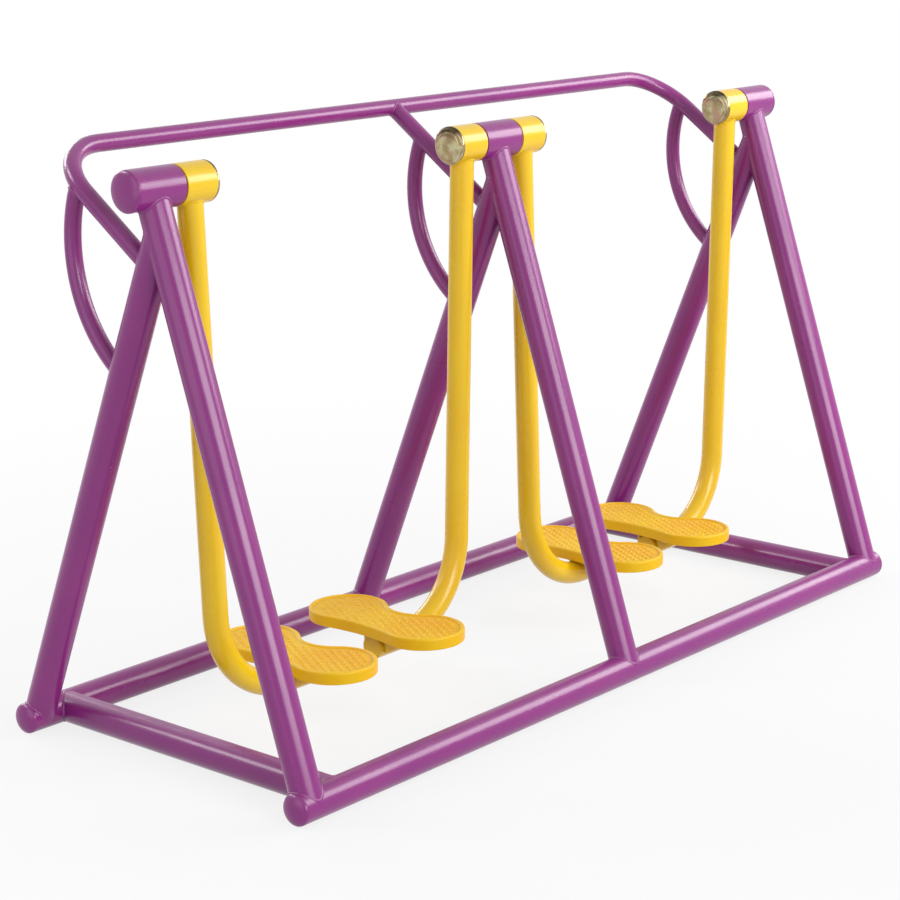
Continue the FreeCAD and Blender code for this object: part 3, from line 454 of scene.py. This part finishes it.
turned_steel = steel("turned_steel", colour=(0.48, 0.47, 0.45), stained_colour=(0.36, 0.34, 0.31),
                     roughness=(0.28, 0.42), ring_depth=0.00006)
bearing_steel = steel("ground_bearing_steel", colour=(0.60, 0.60, 0.60),
                      stained_colour=(0.52, 0.51, 0.50), roughness=(0.12, 0.20), ring_depth=0.00002)
zinc_plate = steel("zinc_plate", colour=(0.58, 0.60, 0.62), stained_colour=(0.46, 0.47, 0.47),
                   roughness=(0.30, 0.45), ring_depth=0.00003)
sleeves = [f"axle_sleeve_{side}" for side in FRAME_SIDES]
axles = [f"axle_{side}" for side in FRAME_SIDES]
SLEEVE_WALL = 0.005
BROKEN_EDGE = 0.0012
for sleeve in sleeves:
    low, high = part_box(sleeve)
    mesh = turned_tube(low.x, high.x, sleeve_radius - SLEEVE_WALL, sleeve_radius, BROKEN_EDGE)
    dressed = new_piece(f"{sleeve}_dressed", mesh, purple_coat, "frame")
    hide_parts(sleeve)
finish_nodes(turned_steel, *axles, "axle_discs")
finish_nodes(bearing_steel, "bearing_inner_rings", "bearing_spacers")
finish_nodes(zinc_plate, "axle_washers", "axle_nuts")


# Domed pressed-steel caps that close the long rails and the outer sleeves. Each is welded on all
# round, ground flush and coated with the frame, so only its rounded dome shows.

CAP_RIM = 0.0010


def add_dome(mesh, face, outward, radius, height):
    """A domed cap that stands out from a round tube's end by height."""
    profile = [(0, 0), (0, radius), (CAP_RIM, radius)]
    dome_steps = 14
    for step in range(1, dome_steps + 1):
        angle = math.pi / 2 * step / dome_steps
        along = CAP_RIM + (height - CAP_RIM) * math.sin(angle)
        profile.append((along, radius * math.cos(angle) if step < dome_steps else 0))
    turn(mesh, profile, face, outward)


def dress_end_caps(node, tube_centres, tube_end, radius):
    """Domes on both ends of tubes that lie along the machine, in place of the plain caps."""
    mesh = bmesh.new()
    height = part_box(node)[1].x - tube_end
    for centre in tube_centres:
        for outward in (-1, 1):
            face = Vector((outward * tube_end, centre.y, centre.z))
            add_dome(mesh, face, ALONG_X * outward, radius, height)
    caps = new_piece(f"{node}_dressed", mesh, purple_coat, "frame")
    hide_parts(node)


dress_end_caps("base_end_caps", (front_rail, rear_rail), rail_high.x, pipe_radius)
dress_end_caps("sleeve_end_caps", (hub,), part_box("axle_sleeve_right")[1].x, sleeve_radius)


# Handrail: one long tube bent down at both ends onto the outer rear legs, a stay to the middle
# leg and three curved braces below. Thin-walled tube, welded, in the same purple coat.

HANDRAIL_SLOPE = math.radians(35.8)
BRACE_RADIUS = 0.273
BRACE_CENTRE_DROP = 0.116
BRACE_CENTRE_FORWARD = 0.0625
THIN_BEAD = 0.0026

stay_low, stay_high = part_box("handrail_stay")
handrail_radius = (stay_high.x - stay_low.x) / 2
brace_low, brace_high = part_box("handrail_brace_middle")
brace_tube_radius = (brace_high.x - brace_low.x) / 2
bar_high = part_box("handrail")[1]
bar_y = bar_high.y - handrail_radius
bar_z = bar_high.z - handrail_radius
braces = [f"handrail_brace_{side}" for side in FRAME_SIDES]
finish_nodes(purple_coat, "handrail", "handrail_stay", *braces)


def brace_path(centre, first_angle, last_angle):
    """Along a brace's arc, from one angle to another, each above the horizontal."""
    def along_arc(along):
        angle = first_angle + (last_angle - first_angle) * along
        out = Vector((0, math.cos(angle), math.sin(angle)))
        return centre + out * BRACE_RADIUS, ALONG_X.cross(out)
    return along_arc


handrail_welds = bmesh.new()
down_arm = Vector((0, -math.cos(HANDRAIL_SLOPE), -math.sin(HANDRAIL_SLOPE)))
for side, x in frame_x.items():
    bar_point = Vector((x, bar_y, bar_z))
    rear_foot = Vector((x, rear_rail.y, rear_rail.z))
    top = Vector((x, hub.y, hub.z))
    front_foot = Vector((x, front_rail.y, front_rail.z))
    rear_top = top.lerp(front_foot, LEG_JOINT_DROP / (top.z - front_foot.z))
    leg_direction = (rear_top - rear_foot).normalized()
    across_leg = leg_direction.cross(ALONG_X)
    arm_length = (rear_foot - bar_point).dot(across_leg) / down_arm.dot(across_leg)
    landing = bar_point + down_arm * arm_length
    ends = [(straight(bar_point, landing), handrail_radius, landing, leg_direction, pipe_radius)]
    if side == "middle":
        ends.append((straight(landing, bar_point), handrail_radius, bar_point, ALONG_X, handrail_radius))
    curve_centre = Vector((x, hub.y - BRACE_CENTRE_FORWARD, hub.z - BRACE_CENTRE_DROP))
    to_arm = (bar_point - curve_centre).cross(down_arm).length
    to_leg = (rear_foot - curve_centre).cross(leg_direction).length
    top_angle = HANDRAIL_SLOPE - math.pi / 2 + math.acos(to_arm / BRACE_RADIUS)
    leg_lean = math.atan2(rear_foot.y - rear_top.y, rear_top.z - rear_foot.z)
    foot_angle = leg_lean - math.acos(to_leg / BRACE_RADIUS)
    middle_angle = (top_angle + foot_angle) / 2
    upper_half = brace_path(curve_centre, middle_angle, top_angle)
    lower_half = brace_path(curve_centre, middle_angle, foot_angle)
    ends.append((upper_half, brace_tube_radius, bar_point, down_arm, handrail_radius))
    ends.append((lower_half, brace_tube_radius, rear_foot, leg_direction, pipe_radius))
    for path, radius, host_point, host_direction, host_radius in ends:
        line = meeting_line(path, radius, ALONG_X, host_point, host_direction, host_radius)
        add_bead(handrail_welds, line, THIN_BEAD)
new_piece("handrail_welds", handrail_welds, purple_coat, "frame")


# Swinging arms: a bearing housing and a bent tube, welded together and coated glossy yellow.
# The tube's open end under the footplate is closed by a welded steel plug.

ARM_NUMBERS = (1, 2, 3, 4)
ARM_LEAN = math.radians(2)
ARM_BEAD = 0.0030
BEARING_SEAT_RADIUS = 0.031
HUB_WELD_SEARCH = 4
yellow_coat = powder_coat("yellow_powder_coat", colour=(0.730, 0.485, 0.003),
                          deep_colour=(0.710, 0.415, 0.002), chip_colour=(0.82, 0.60, 0.05),
                          dust_share=0.05)
arm_radius = (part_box("arm_tube_1")[1].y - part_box("arm_tube_1")[0].y) / 2
for number in ARM_NUMBERS:
    body = f"arm_{number}"
    housing = f"bearing_housing_{number}"
    finish_nodes(yellow_coat, f"arm_tube_{number}", f"arm_end_plug_{number}")
    finish_nodes(bearing_steel, f"ball_bearings_{number}")

    low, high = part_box(housing)
    mesh = turned_tube(low.x, high.x, BEARING_SEAT_RADIUS, sleeve_radius, BROKEN_EDGE)
    dressed = new_piece(f"{housing}_dressed", mesh, yellow_coat, body)
    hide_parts(housing)

    arm_top = Vector(((low.x + high.x) / 2, hub.y, hub.z))
    reach = math.copysign(1, centre_of(f"footplate_{number}").x - arm_top.x)
    arm_down = Vector((reach * math.sin(ARM_LEAN), 0, -math.cos(ARM_LEAN)))
    below = arm_top + arm_down * HUB_WELD_SEARCH * arm_radius
    line = meeting_line(straight(below, arm_top), arm_radius, ALONG_Y, arm_top, ALONG_X, sleeve_radius)
    mesh = bmesh.new()
    add_bead(mesh, line, ARM_BEAD)
    new_piece(f"arm_weld_{number}", mesh, yellow_coat, body)


# Hub caps: steel pressings with a rolled shoulder round a low crown, pressed into the housing's
# outer end. The zinc plating is yellow-passivated, so it goes from khaki to green and to pink.
# Their upper part carries a dark, ragged arc: a painted reflection of dark surroundings above.

CAP_SPIGOT_DEPTH = 0.0025
CAP_SHOULDER_START = 0.0025
CAP_SHOULDER_RADIUS = 0.0290
CAP_GROOVE = 0.0008
CAP_CROWN_RADIUS = 0.0265
CAP_CROWN_START = 0.8
CAP_SEAT_CLEARANCE = 0.0005
DARKEST_PAINTED_REFLECTION = 0.95
PAINTED_REFLECTION_COLOUR = (0.040, 0.032, 0.016)


def passivated_zinc():
    """Yellow-passivated zinc with a painted dark reflection above the caps' middle."""
    material, tree, shader = new_material("yellow_passivated_zinc")
    place = add(tree, "ShaderNodeTexCoord").outputs["Object"]
    green_patches = ramp(tree, noise(tree, place, scale=38.0, detail=3.0), low=0.42, high=0.62)
    pink_patches = ramp(tree, noise(tree, place, scale=29.0, detail=3.0), low=0.48, high=0.66)
    khaki, green, pink = (0.32, 0.24, 0.12), (0.52, 0.48, 0.29), (0.42, 0.26, 0.18)
    tone = blend_colour(tree, green_patches, khaki, green)
    tone = blend_colour(tree, pink_patches, tone, pink)
    # Painted reflection: a dark arc above the cap's middle, darker and duller towards the top.
    height = add(tree, "ShaderNodeSeparateXYZ", {0: place}).outputs["Z"]
    above_middle = maths(tree, "DIVIDE", maths(tree, "SUBTRACT", height, hub.z), sleeve_radius)
    grain = noise(tree, place, scale=60.0, detail=4.0)
    waver = ramp(tree, grain, low=0.3, high=0.7, to_low=-0.12, to_high=0.12)
    ragged = maths(tree, "ADD", above_middle, waver)
    painted_reflection = ramp(tree, ragged, low=0.45, high=0.78, to_low=0.0, to_high=DARKEST_PAINTED_REFLECTION)
    tone = blend_colour(tree, painted_reflection, tone, PAINTED_REFLECTION_COLOUR)
    tree.links.new(tone, shader.inputs["Base Color"])
    dulled = ramp(tree, painted_reflection, low=0.0, high=DARKEST_PAINTED_REFLECTION, to_low=0.16, to_high=0.45)
    tree.links.new(dulled, shader.inputs["Roughness"])
    shader.inputs["Metallic"].default_value = 1.0
    return material


cap_plating = passivated_zinc()
for number in ARM_NUMBERS:
    low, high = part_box(f"hub_cap_{number}")
    housing_low, housing_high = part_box(f"bearing_housing_{number}")
    outward = 1 if high.x > housing_high.x else -1
    face = housing_high.x if outward == 1 else housing_low.x
    height = (high.x - face) if outward == 1 else (face - low.x)
    crown_start = height * CAP_CROWN_START
    spigot_radius = BEARING_SEAT_RADIUS - CAP_SEAT_CLEARANCE
    profile = [(-CAP_SPIGOT_DEPTH, 0), (-CAP_SPIGOT_DEPTH, spigot_radius),
               (0, spigot_radius), (0, sleeve_radius)]
    shoulder_steps = 12
    for step in range(shoulder_steps + 1):
        angle = math.pi / 2 * step / shoulder_steps
        along = CAP_SHOULDER_START + (crown_start - CAP_SHOULDER_START) * math.sin(angle)
        radius = CAP_SHOULDER_RADIUS + (sleeve_radius - CAP_SHOULDER_RADIUS) * math.cos(angle)
        profile.append((along, radius))
    profile.append((crown_start - CAP_GROOVE, (CAP_SHOULDER_RADIUS + CAP_CROWN_RADIUS) / 2))
    crown_steps = 10
    for step in range(crown_steps + 1):
        radius = CAP_CROWN_RADIUS * (1 - step / crown_steps)
        swell = 1 - (radius / CAP_CROWN_RADIUS) ** 2
        profile.append((crown_start + (height - crown_start) * swell, radius))
    mesh = bmesh.new()
    turn(mesh, profile, Vector((face, hub.y, hub.z)), ALONG_X * outward)
    cap = new_piece(f"hub_cap_{number}_dressed", mesh, cap_plating, f"arm_{number}")
    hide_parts(f"hub_cap_{number}")


# Footplates: sole-shaped castings with a raised, rounded rim, round anti-slip studs and a hollow
# underside with four bolt bosses. The yellow coat is dulled on the studs and the rim by shoes, and
# painted paler on their tops, partly as shoe wear and partly as a painted highlight.

TOE_SHIFT = 0.004
TOE_REACH = 0.111
TOE_RADIUS = 0.081
HEEL_REACH = 0.101
HEEL_RADIUS = 0.082
ARCH_RADIUS = 0.075
FLANK_RADIUS = 0.400
PLATE_HEIGHT = 0.024
TREAD_HEIGHT = 0.021
HOLLOW_HEIGHT = 0.016
SKIRT_WALL = 0.006
SKIRT_INNER_EDGE = 0.001
SKIRT_OUTER_EDGE = 0.0015
HOLLOW_FILLET = 0.002
RIM_WIDTH = 0.008
RIM_ROUNDING = 0.0044
RIM_SLOPE = 0.0012
RIM_INNER_EDGE = 0.0012
STUD_HEIGHT = 0.0022
STUD_RADIUS = 0.0042
STUD_FOOT = ((-0.0004, 0.0006), (0, 0.0005), (0.0003, 0))
STUD_CROWN = ((0.6, 0.0004), (0.9, 0.0010), (1, 0.0020))
STUD_PITCH = 0.017
STUD_MARGIN = 0.016
BOSS_RADIUS = 0.013
BOSS_DRAFT = 0.0005
BOSS_EDGE = 0.0010
BOSS_HOLE_EDGE = 0.0004
BOSS_OVERLAP = 0.0005
BOLT_RADIUS = 0.005
BOLT_SPACING = (0.050, 0.084)
FLANGE_WIDTH = 0.008
OUTLINE_SPACING = 0.003


def touching_centre(first, first_radius, second, second_radius, radius, side):
    """Centre of a circle that touches two others from outside, on one side of them."""
    a = first_radius + radius
    b = second_radius + radius
    line = second - first
    gap = line.length
    along = (a * a - b * b + gap * gap) / (2 * gap)
    across = math.sqrt(a * a - along * along)
    unit = line / gap
    return first + unit * along + Vector((-unit.y, unit.x)) * across * side


def sole_outline(spacing):
    """Points round the sole, anticlockwise, each with the direction that points out of it."""
    toe = Vector((TOE_SHIFT, TOE_REACH))
    heel = Vector((-TOE_SHIFT, -HEEL_REACH))
    arch = touching_centre(toe, TOE_RADIUS, heel, HEEL_RADIUS, ARCH_RADIUS, 1)
    flank = touching_centre(toe, TOE_RADIUS, heel, HEEL_RADIUS, FLANK_RADIUS, -1)
    outline = []
    for centre, radius, first, last, bulge in ((toe, TOE_RADIUS, arch, flank, 1),
                                               (flank, FLANK_RADIUS, toe, heel, -1),
                                               (heel, HEEL_RADIUS, flank, arch, 1),
                                               (arch, ARCH_RADIUS, heel, toe, -1)):
        start = math.atan2(first.y - centre.y, first.x - centre.x)
        end = math.atan2(last.y - centre.y, last.x - centre.x)
        sweep = bulge * (bulge * (end - start) % (2 * math.pi))
        count = round(radius * abs(sweep) / spacing)
        for step in range(count):
            angle = start + sweep * step / count
            out = Vector((math.cos(angle), math.sin(angle)))
            outline.append((centre + out * radius, out * bulge))
    return outline


def inside_by(outline, place):
    """How far a place lies inside the outline; less than 0 outside."""
    point, out = min(outline, key=lambda item: (item[0] - place).length)
    return (point - place).dot(out)


def bolt_places():
    """The four bolts' places about the footplate's centre."""
    x, y = BOLT_SPACING[0] / 2, BOLT_SPACING[1] / 2
    return [(-x, -y), (-x, y), (x, -y), (x, y)]


def footplate_mesh():
    """One footplate about its own centre, with its underside at height 0."""
    mesh = bmesh.new()
    outline = sole_outline(OUTLINE_SPACING)
    profile = soft_corners([
        (SKIRT_WALL + FLANGE_WIDTH, HOLLOW_HEIGHT, 0),
        (SKIRT_WALL, HOLLOW_HEIGHT, HOLLOW_FILLET),
        (SKIRT_WALL, 0, SKIRT_INNER_EDGE),
        (0, 0, SKIRT_OUTER_EDGE),
        (0, PLATE_HEIGHT, RIM_ROUNDING),
        (RIM_WIDTH - RIM_SLOPE / 2, PLATE_HEIGHT, RIM_INNER_EDGE),
        (RIM_WIDTH + RIM_SLOPE / 2, TREAD_HEIGHT, RIM_INNER_EDGE),
        (RIM_WIDTH + FLANGE_WIDTH, TREAD_HEIGHT, 0),
    ])
    rings = [[mesh.verts.new((*(point - out * inset), height)) for point, out in outline]
             for inset, height in profile]
    for first, second in zip(rings, rings[1:]):
        bridge(mesh, first, second)
    mesh.faces.new(rings[0])
    mesh.faces.new(rings[-1])

    upward = Vector((0, 0, 1))
    stud = [(height, STUD_RADIUS + flare) for height, flare in STUD_FOOT]
    stud += [(STUD_HEIGHT * share, STUD_RADIUS - inset) for share, inset in STUD_CROWN]
    stud.append((STUD_HEIGHT, 0))
    row_pitch = STUD_PITCH * math.sqrt(3) / 2
    rows = round((TOE_REACH + TOE_RADIUS) / row_pitch)
    columns = round((TOE_RADIUS + TOE_SHIFT) / STUD_PITCH)
    for row in range(-rows, rows + 1):
        for column in range(-columns, columns + 1):
            place = Vector(((column + 0.5 * (row % 2)) * STUD_PITCH, row * row_pitch))
            if inside_by(outline, place) > STUD_MARGIN:
                turn(mesh, stud, Vector((*place, TREAD_HEIGHT)), upward, steps=20)

    boss_top = HOLLOW_HEIGHT + BOSS_OVERLAP
    boss = soft_corners([(0, BOLT_RADIUS, BOSS_HOLE_EDGE), (0, BOSS_RADIUS, BOSS_EDGE),
                         (boss_top, BOSS_RADIUS + BOSS_DRAFT, 0), (boss_top, BOLT_RADIUS, 0)],
                        closed=True)
    for x, y in bolt_places():
        turn(mesh, boss, Vector((x, y, 0)), upward, closed=True, steps=40)
    return mesh


def rub_and_light_group():
    """Where shoes rub and the tops take a painted highlight: a mask that rises above a height in the
    object, broken up by grain.
    """
    group, given, result = new_group("tread_rub_and_light", {"Start Height": 0.0, "Full Height": 1.0}, ["Rubbed"])
    place = add(group, "ShaderNodeTexCoord").outputs["Object"]
    height = add(group, "ShaderNodeSeparateXYZ", {0: place}).outputs["Z"]
    exposed = ramp(group, height, low=given["Start Height"], high=given["Full Height"])
    grain = noise(group, place, scale=45.0, detail=6.0, roughness=0.7)
    patchy = ramp(group, grain, low=0.35, high=0.7)
    group.links.new(maths(group, "MULTIPLY", exposed, patchy), result["Rubbed"])
    return group


RUB_AND_LIGHT_START = 0.7
RUB_AND_LIGHT_PALENESS = 0.5
RUB_DULLNESS = 0.15
TREAD_DUST_SHARE = 0.06
TREAD_DUST_DULLNESS = 0.2


def footplate_paint():
    """The yellow coat, duller where shoes rub it and paler on the tops from wear and a painted highlight, a
    little orange where it lies thick.
    """
    material, tree, shader = new_material("footplate_yellow_coat")
    film = add(tree, "ShaderNodeGroup", node_tree=coat_film)
    film.inputs["Peel Scale"].default_value = PEEL_SCALE
    film.inputs["Chip Scale"].default_value = 60.0
    rub_and_light_node = add(tree, "ShaderNodeGroup", node_tree=rub_and_light_group())
    rub_and_light_node.inputs["Start Height"].default_value = TREAD_HEIGHT + STUD_HEIGHT * RUB_AND_LIGHT_START
    rub_and_light_node.inputs["Full Height"].default_value = TREAD_HEIGHT + STUD_HEIGHT
    mask = film.outputs
    rubbed_and_lit = rub_and_light_node.outputs["Rubbed"]
    yellow, orange, rubbed_and_lit_yellow = (0.780, 0.510, 0.002), (0.740, 0.350, 0.001), (0.80, 0.60, 0.04)
    tone = blend_colour(tree, mask["Mottle"], yellow, orange)
    # Painted highlight and wear: the rim top and the stud crowns are painted paler, partly shoe wear,
    # partly the lit tops.
    tone = blend_colour(tree, maths(tree, "MULTIPLY", rubbed_and_lit, RUB_AND_LIGHT_PALENESS), tone, rubbed_and_lit_yellow)
    dusty = maths(tree, "MULTIPLY", mask["Dust"], TREAD_DUST_SHARE)
    tone = blend_colour(tree, dusty, tone, DUST_COLOUR)
    tree.links.new(tone, shader.inputs["Base Color"])
    clean = ramp(tree, mask["Mottle"], low=0.0, high=1.0, to_low=0.36, to_high=0.46)
    dulled = maths(tree, "ADD", maths(tree, "MULTIPLY", rubbed_and_lit, RUB_DULLNESS),
                   maths(tree, "MULTIPLY", mask["Dust"], TREAD_DUST_DULLNESS))
    roughness = maths(tree, "ADD", clean, dulled)
    tree.links.new(roughness, shader.inputs["Roughness"])
    bump = add(tree, "ShaderNodeBump", {"Strength": 0.6, "Distance": 0.00003, "Height": mask["Height"]})
    tree.links.new(bump.outputs["Normal"], shader.inputs["Normal"])
    shader.inputs["IOR"].default_value = 1.38
    return material


tread_coat = footplate_paint()
for number in ARM_NUMBERS:
    low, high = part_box(f"footplate_{number}")
    plate = new_piece(f"footplate_{number}_dressed", footplate_mesh(), tread_coat, f"arm_{number}")
    own_low, own_high = Vector(plate.bound_box[0]), Vector(plate.bound_box[6])
    plate.location = Vector(((low.x + high.x - own_low.x - own_high.x) / 2,
                             (low.y + high.y - own_low.y - own_high.y) / 2, low.z))
    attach(plate, f"arm_{number}")
    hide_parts(f"footplate_{number}")


# Saddles: bent plates laid over the arm tubes and welded to them along the lower edges of their
# cheeks, each holding its footplate with four zinc-plated hexagon bolts from below.

SADDLE_THICKNESS = 0.006
CHEEK_THICKNESS = 0.005
CHEEK_DEPTH = 0.008
SADDLE_EDGE = 0.0006
HEAD_HEIGHT = 0.0064
HEAD_FLATS = 0.016
CHAMFER_START = 0.95
CHAMFER_SLOPE = math.tan(math.radians(30))
BOLT_GRIP = 0.014
SHANK_EDGE = 0.001
SADDLE_BEAD = 0.0028
SADDLE_BEAD_INSET = 0.005


def saddle_mesh(centre, length, width):
    """The saddle's section, drawn out along the machine, with its edges broken."""
    mesh = bmesh.new()
    side = width / 2
    cheek = arm_radius + CHEEK_THICKNESS
    half_section = [(arm_radius, arm_radius), (arm_radius, -CHEEK_DEPTH), (cheek, -CHEEK_DEPTH),
                    (cheek, arm_radius), (side, arm_radius), (side, arm_radius + SADDLE_THICKNESS)]
    section = half_section + [(-y, z) for y, z in reversed(half_section)]
    ends = [[mesh.verts.new(centre + Vector((x, y, z))) for y, z in section]
            for x in (-length / 2, length / 2)]
    bridge(mesh, *ends)
    for end in ends:
        mesh.faces.new(end)
    bmesh.ops.bevel(mesh, geom=list(mesh.edges), offset=SADDLE_EDGE, segments=2, affect="EDGES")
    return mesh


def add_straight_bead(mesh, first, last, out, bead_radius):
    """A rippled weld run from first to last with rounded ends, its crown towards out."""
    length = (last - first).length
    steps = round(length * STEPS_PER_RIPPLE / RIPPLE_PITCH)
    side = (last - first).normalized().cross(out)
    rings = [[mesh.verts.new(first)]]
    for step in range(1, steps):
        along = step / steps
        from_end = min(along, 1 - along) * length
        taper = math.sqrt(min(1, from_end / (2 * bead_radius)))
        swell = taper * ripple(step / STEPS_PER_RIPPLE)
        point = first.lerp(last, along)
        angles = [2 * math.pi * corner / BEAD_RING_POINTS for corner in range(BEAD_RING_POINTS)]
        rings.append([mesh.verts.new(point + (out * math.cos(a) + side * math.sin(a)) * bead_radius * swell)
                      for a in angles])
    rings.append([mesh.verts.new(last)])
    for ring, following in zip(rings, rings[1:]):
        bridge(mesh, ring, following)


def add_bolt(mesh, seat):
    """A hexagon bolt whose head hangs below seat and whose shank goes up from it."""
    steps = 48
    flat = HEAD_FLATS / 2
    chamfer_start = flat * CHAMFER_START
    angles = [2 * math.pi * step / steps for step in range(steps)]
    reach = [flat / math.cos((a + math.pi / 6) % (math.pi / 3) - math.pi / 6) for a in angles]
    lower = [HEAD_HEIGHT - (distance - chamfer_start) * CHAMFER_SLOPE for distance in reach]
    rings = [[mesh.verts.new(seat)]]
    top = (reach, [0] * steps)
    chamfer = (reach, lower)
    bottom = ([chamfer_start] * steps, [HEAD_HEIGHT] * steps)
    for distances, drops in (top, chamfer, bottom):
        corners = [Vector((distance * math.cos(a), distance * math.sin(a), -drop))
                   for a, distance, drop in zip(angles, distances, drops)]
        rings.append([mesh.verts.new(seat + corner) for corner in corners])
    rings.append([mesh.verts.new(seat - Vector((0, 0, HEAD_HEIGHT)))])
    for first, second in zip(rings, rings[1:]):
        bridge(mesh, first, second)
    shank_top = SADDLE_THICKNESS + BOLT_GRIP
    shank = soft_corners([(-HEAD_HEIGHT / 2, 0, 0), (-HEAD_HEIGHT / 2, BOLT_RADIUS, 0),
                          (shank_top, BOLT_RADIUS, SHANK_EDGE), (shank_top, 0, 0)])
    turn(mesh, shank, seat, Vector((0, 0, 1)), steps=24)


for number in ARM_NUMBERS:
    body = f"arm_{number}"
    low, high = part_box(f"footplate_saddle_{number}")
    centre = centre_of(f"footplate_saddle_{number}")
    centre.z = high.z - SADDLE_THICKNESS - arm_radius
    mesh = saddle_mesh(centre, high.x - low.x, high.y - low.y)
    saddle = new_piece(f"footplate_saddle_{number}_dressed", mesh, yellow_coat, body)
    saddle.data.shade_flat()
    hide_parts(f"footplate_saddle_{number}")
    mesh = bmesh.new()
    half_run = (high.x - low.x) / 2 - SADDLE_BEAD_INSET
    for sign in (-1, 1):
        foot = centre + Vector((0, sign * arm_radius, -CHEEK_DEPTH))
        add_straight_bead(mesh, foot - ALONG_X * half_run, foot + ALONG_X * half_run,
                          Vector((0, sign, -2)).normalized(), SADDLE_BEAD)
    new_piece(f"saddle_welds_{number}", mesh, yellow_coat, body)
    mesh = bmesh.new()
    for x, y in bolt_places():
        add_bolt(mesh, Vector((centre.x + x, centre.y + y, centre.z + arm_radius)))
    bolts = new_piece(f"footplate_bolts_{number}_dressed", mesh, zinc_plate, body)
    bolts.data.set_sharp_from_angle(angle=math.radians(25))
    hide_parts(f"footplate_bolts_{number}")


# Studio: a plain floor that runs out to a white surround, and soft boxes in front, behind and at
# the sides. The floor keeps the soft shadow of the machine and goes to full white away from it.

def white_for_looking(tree, shaded, share):
    """Shaded, with plain white mixed in by share for rays from the camera, mirrors and glass."""
    rays = add(tree, "ShaderNodeLightPath").outputs
    seen = maths(tree, "MAXIMUM", maths(tree, "MAXIMUM", rays["Is Camera Ray"], rays["Is Glossy Ray"]),
                 rays["Is Transmission Ray"])
    amount = maths(tree, "MULTIPLY", seen, share)
    white = add(tree, "ShaderNodeEmission", {"Color": (1.0, 1.0, 1.0, 1.0), "Strength": 1.0})
    return add(tree, "ShaderNodeMixShader", {0: amount, 1: shaded, 2: white.outputs[0]}).outputs[0]


FLOOR_HALF_WIDTH = 60.0
floor_mesh = bmesh.new()
bmesh.ops.create_grid(floor_mesh, x_segments=8, y_segments=8, size=FLOOR_HALF_WIDTH)
floor_data = bpy.data.meshes.new("studio_floor")
floor_mesh.to_mesh(floor_data)
floor_mesh.free()
studio_floor = bpy.data.objects.new("studio_floor", floor_data)
scene.collection.objects.link(studio_floor)
floor_material, floor_tree, floor_shader = new_material("white_floor")
floor_shader.inputs["Base Color"].default_value = (0.65, 0.65, 0.65, 1.0)
floor_shader.inputs["Roughness"].default_value = 0.9
floor_place = add(floor_tree, "ShaderNodeTexCoord").outputs["Object"]
from_middle = add(floor_tree, "ShaderNodeVectorMath", {0: floor_place}, operation="LENGTH")
whiteness = ramp(floor_tree, from_middle.outputs["Value"], low=1.0, high=2.6, to_low=0.82, to_high=1.0)
floor_result = white_for_looking(floor_tree, floor_shader.outputs[0], whiteness)
floor_tree.links.new(floor_result, floor_tree.nodes["Material Output"].inputs["Surface"])
floor_data.materials.append(floor_material)

world = bpy.data.worlds.new("studio")
scene.world = world
world.use_nodes = True
surround = world.node_tree.nodes["Background"]
surround.inputs["Color"].default_value = (1.0, 1.0, 1.0, 1.0)
surround.inputs["Strength"].default_value = 0.32
world_result = white_for_looking(world.node_tree, surround.outputs[0], 1.0)
world.node_tree.links.new(world_result, world.node_tree.nodes["World Output"].inputs["Surface"])


def soft_box(name, place, aim, width, height, power, roll=0):
    """A rectangular lamp at a place, turned to an aim; its power is in watts, its roll in degrees."""
    lamp = bpy.data.lights.new(name, "AREA")
    lamp.shape = "RECTANGLE"
    lamp.size = width
    lamp.size_y = height
    lamp.energy = power
    holder = bpy.data.objects.new(name, lamp)
    scene.collection.objects.link(holder)
    holder.location = place
    facing = (Vector(aim) - Vector(place)).to_track_quat("-Z", "Y").to_matrix()
    holder.rotation_euler = (facing @ Matrix.Rotation(math.radians(roll), 3, "Z")).to_euler()


soft_box("front_box", place=(-1.9, -11.0, 3.8), aim=(0, 0, 0.5), width=8.5, height=3.6, power=800)
soft_box("left_box", place=(-4.4, -0.2, 1.6), aim=(0, 0, 0.6), width=3.4, height=3.0, power=34)
soft_box("right_strip", place=(4.4, -1.9, 3.0), aim=(2.9, 2.3, 0.45), width=6.4, height=1.9, power=270,
         roll=12)
soft_box("cross_box", place=(-2.9, 3.3, 3.5), aim=(0, 0, 0.4), width=1.8, height=1.2, power=62)
soft_box("rear_box", place=(1.5, 10.0, 4.5), aim=(0, 0, 0.5), width=7.0, height=3.0, power=480)


# Camera: a long lens at eye height, off the left end and in front, as in the photo.
# Its place, aim, roll and lens were solved from the lines of the tubes.

camera_data = bpy.data.cameras.new("photo_camera")
camera_data.sensor_width = 36.0
camera_data.lens = 94.390
camera = bpy.data.objects.new("photo_camera", camera_data)
scene.collection.objects.link(camera)
camera_place = Vector((-3.7057, -3.0696, 1.6221))
camera_aim = Vector((-0.48924, -0.31375, 0.57668))
camera_roll = math.radians(-0.524)
camera.location = camera_place
camera.rotation_mode = "QUATERNION"
level_view = (camera_aim - camera_place).to_track_quat("-Z", "Y").to_matrix()
camera.rotation_quaternion = (level_view @ Matrix.Rotation(camera_roll, 3, "Z")).to_quaternion()
scene.camera = camera
scene.view_settings.view_transform = "Standard"
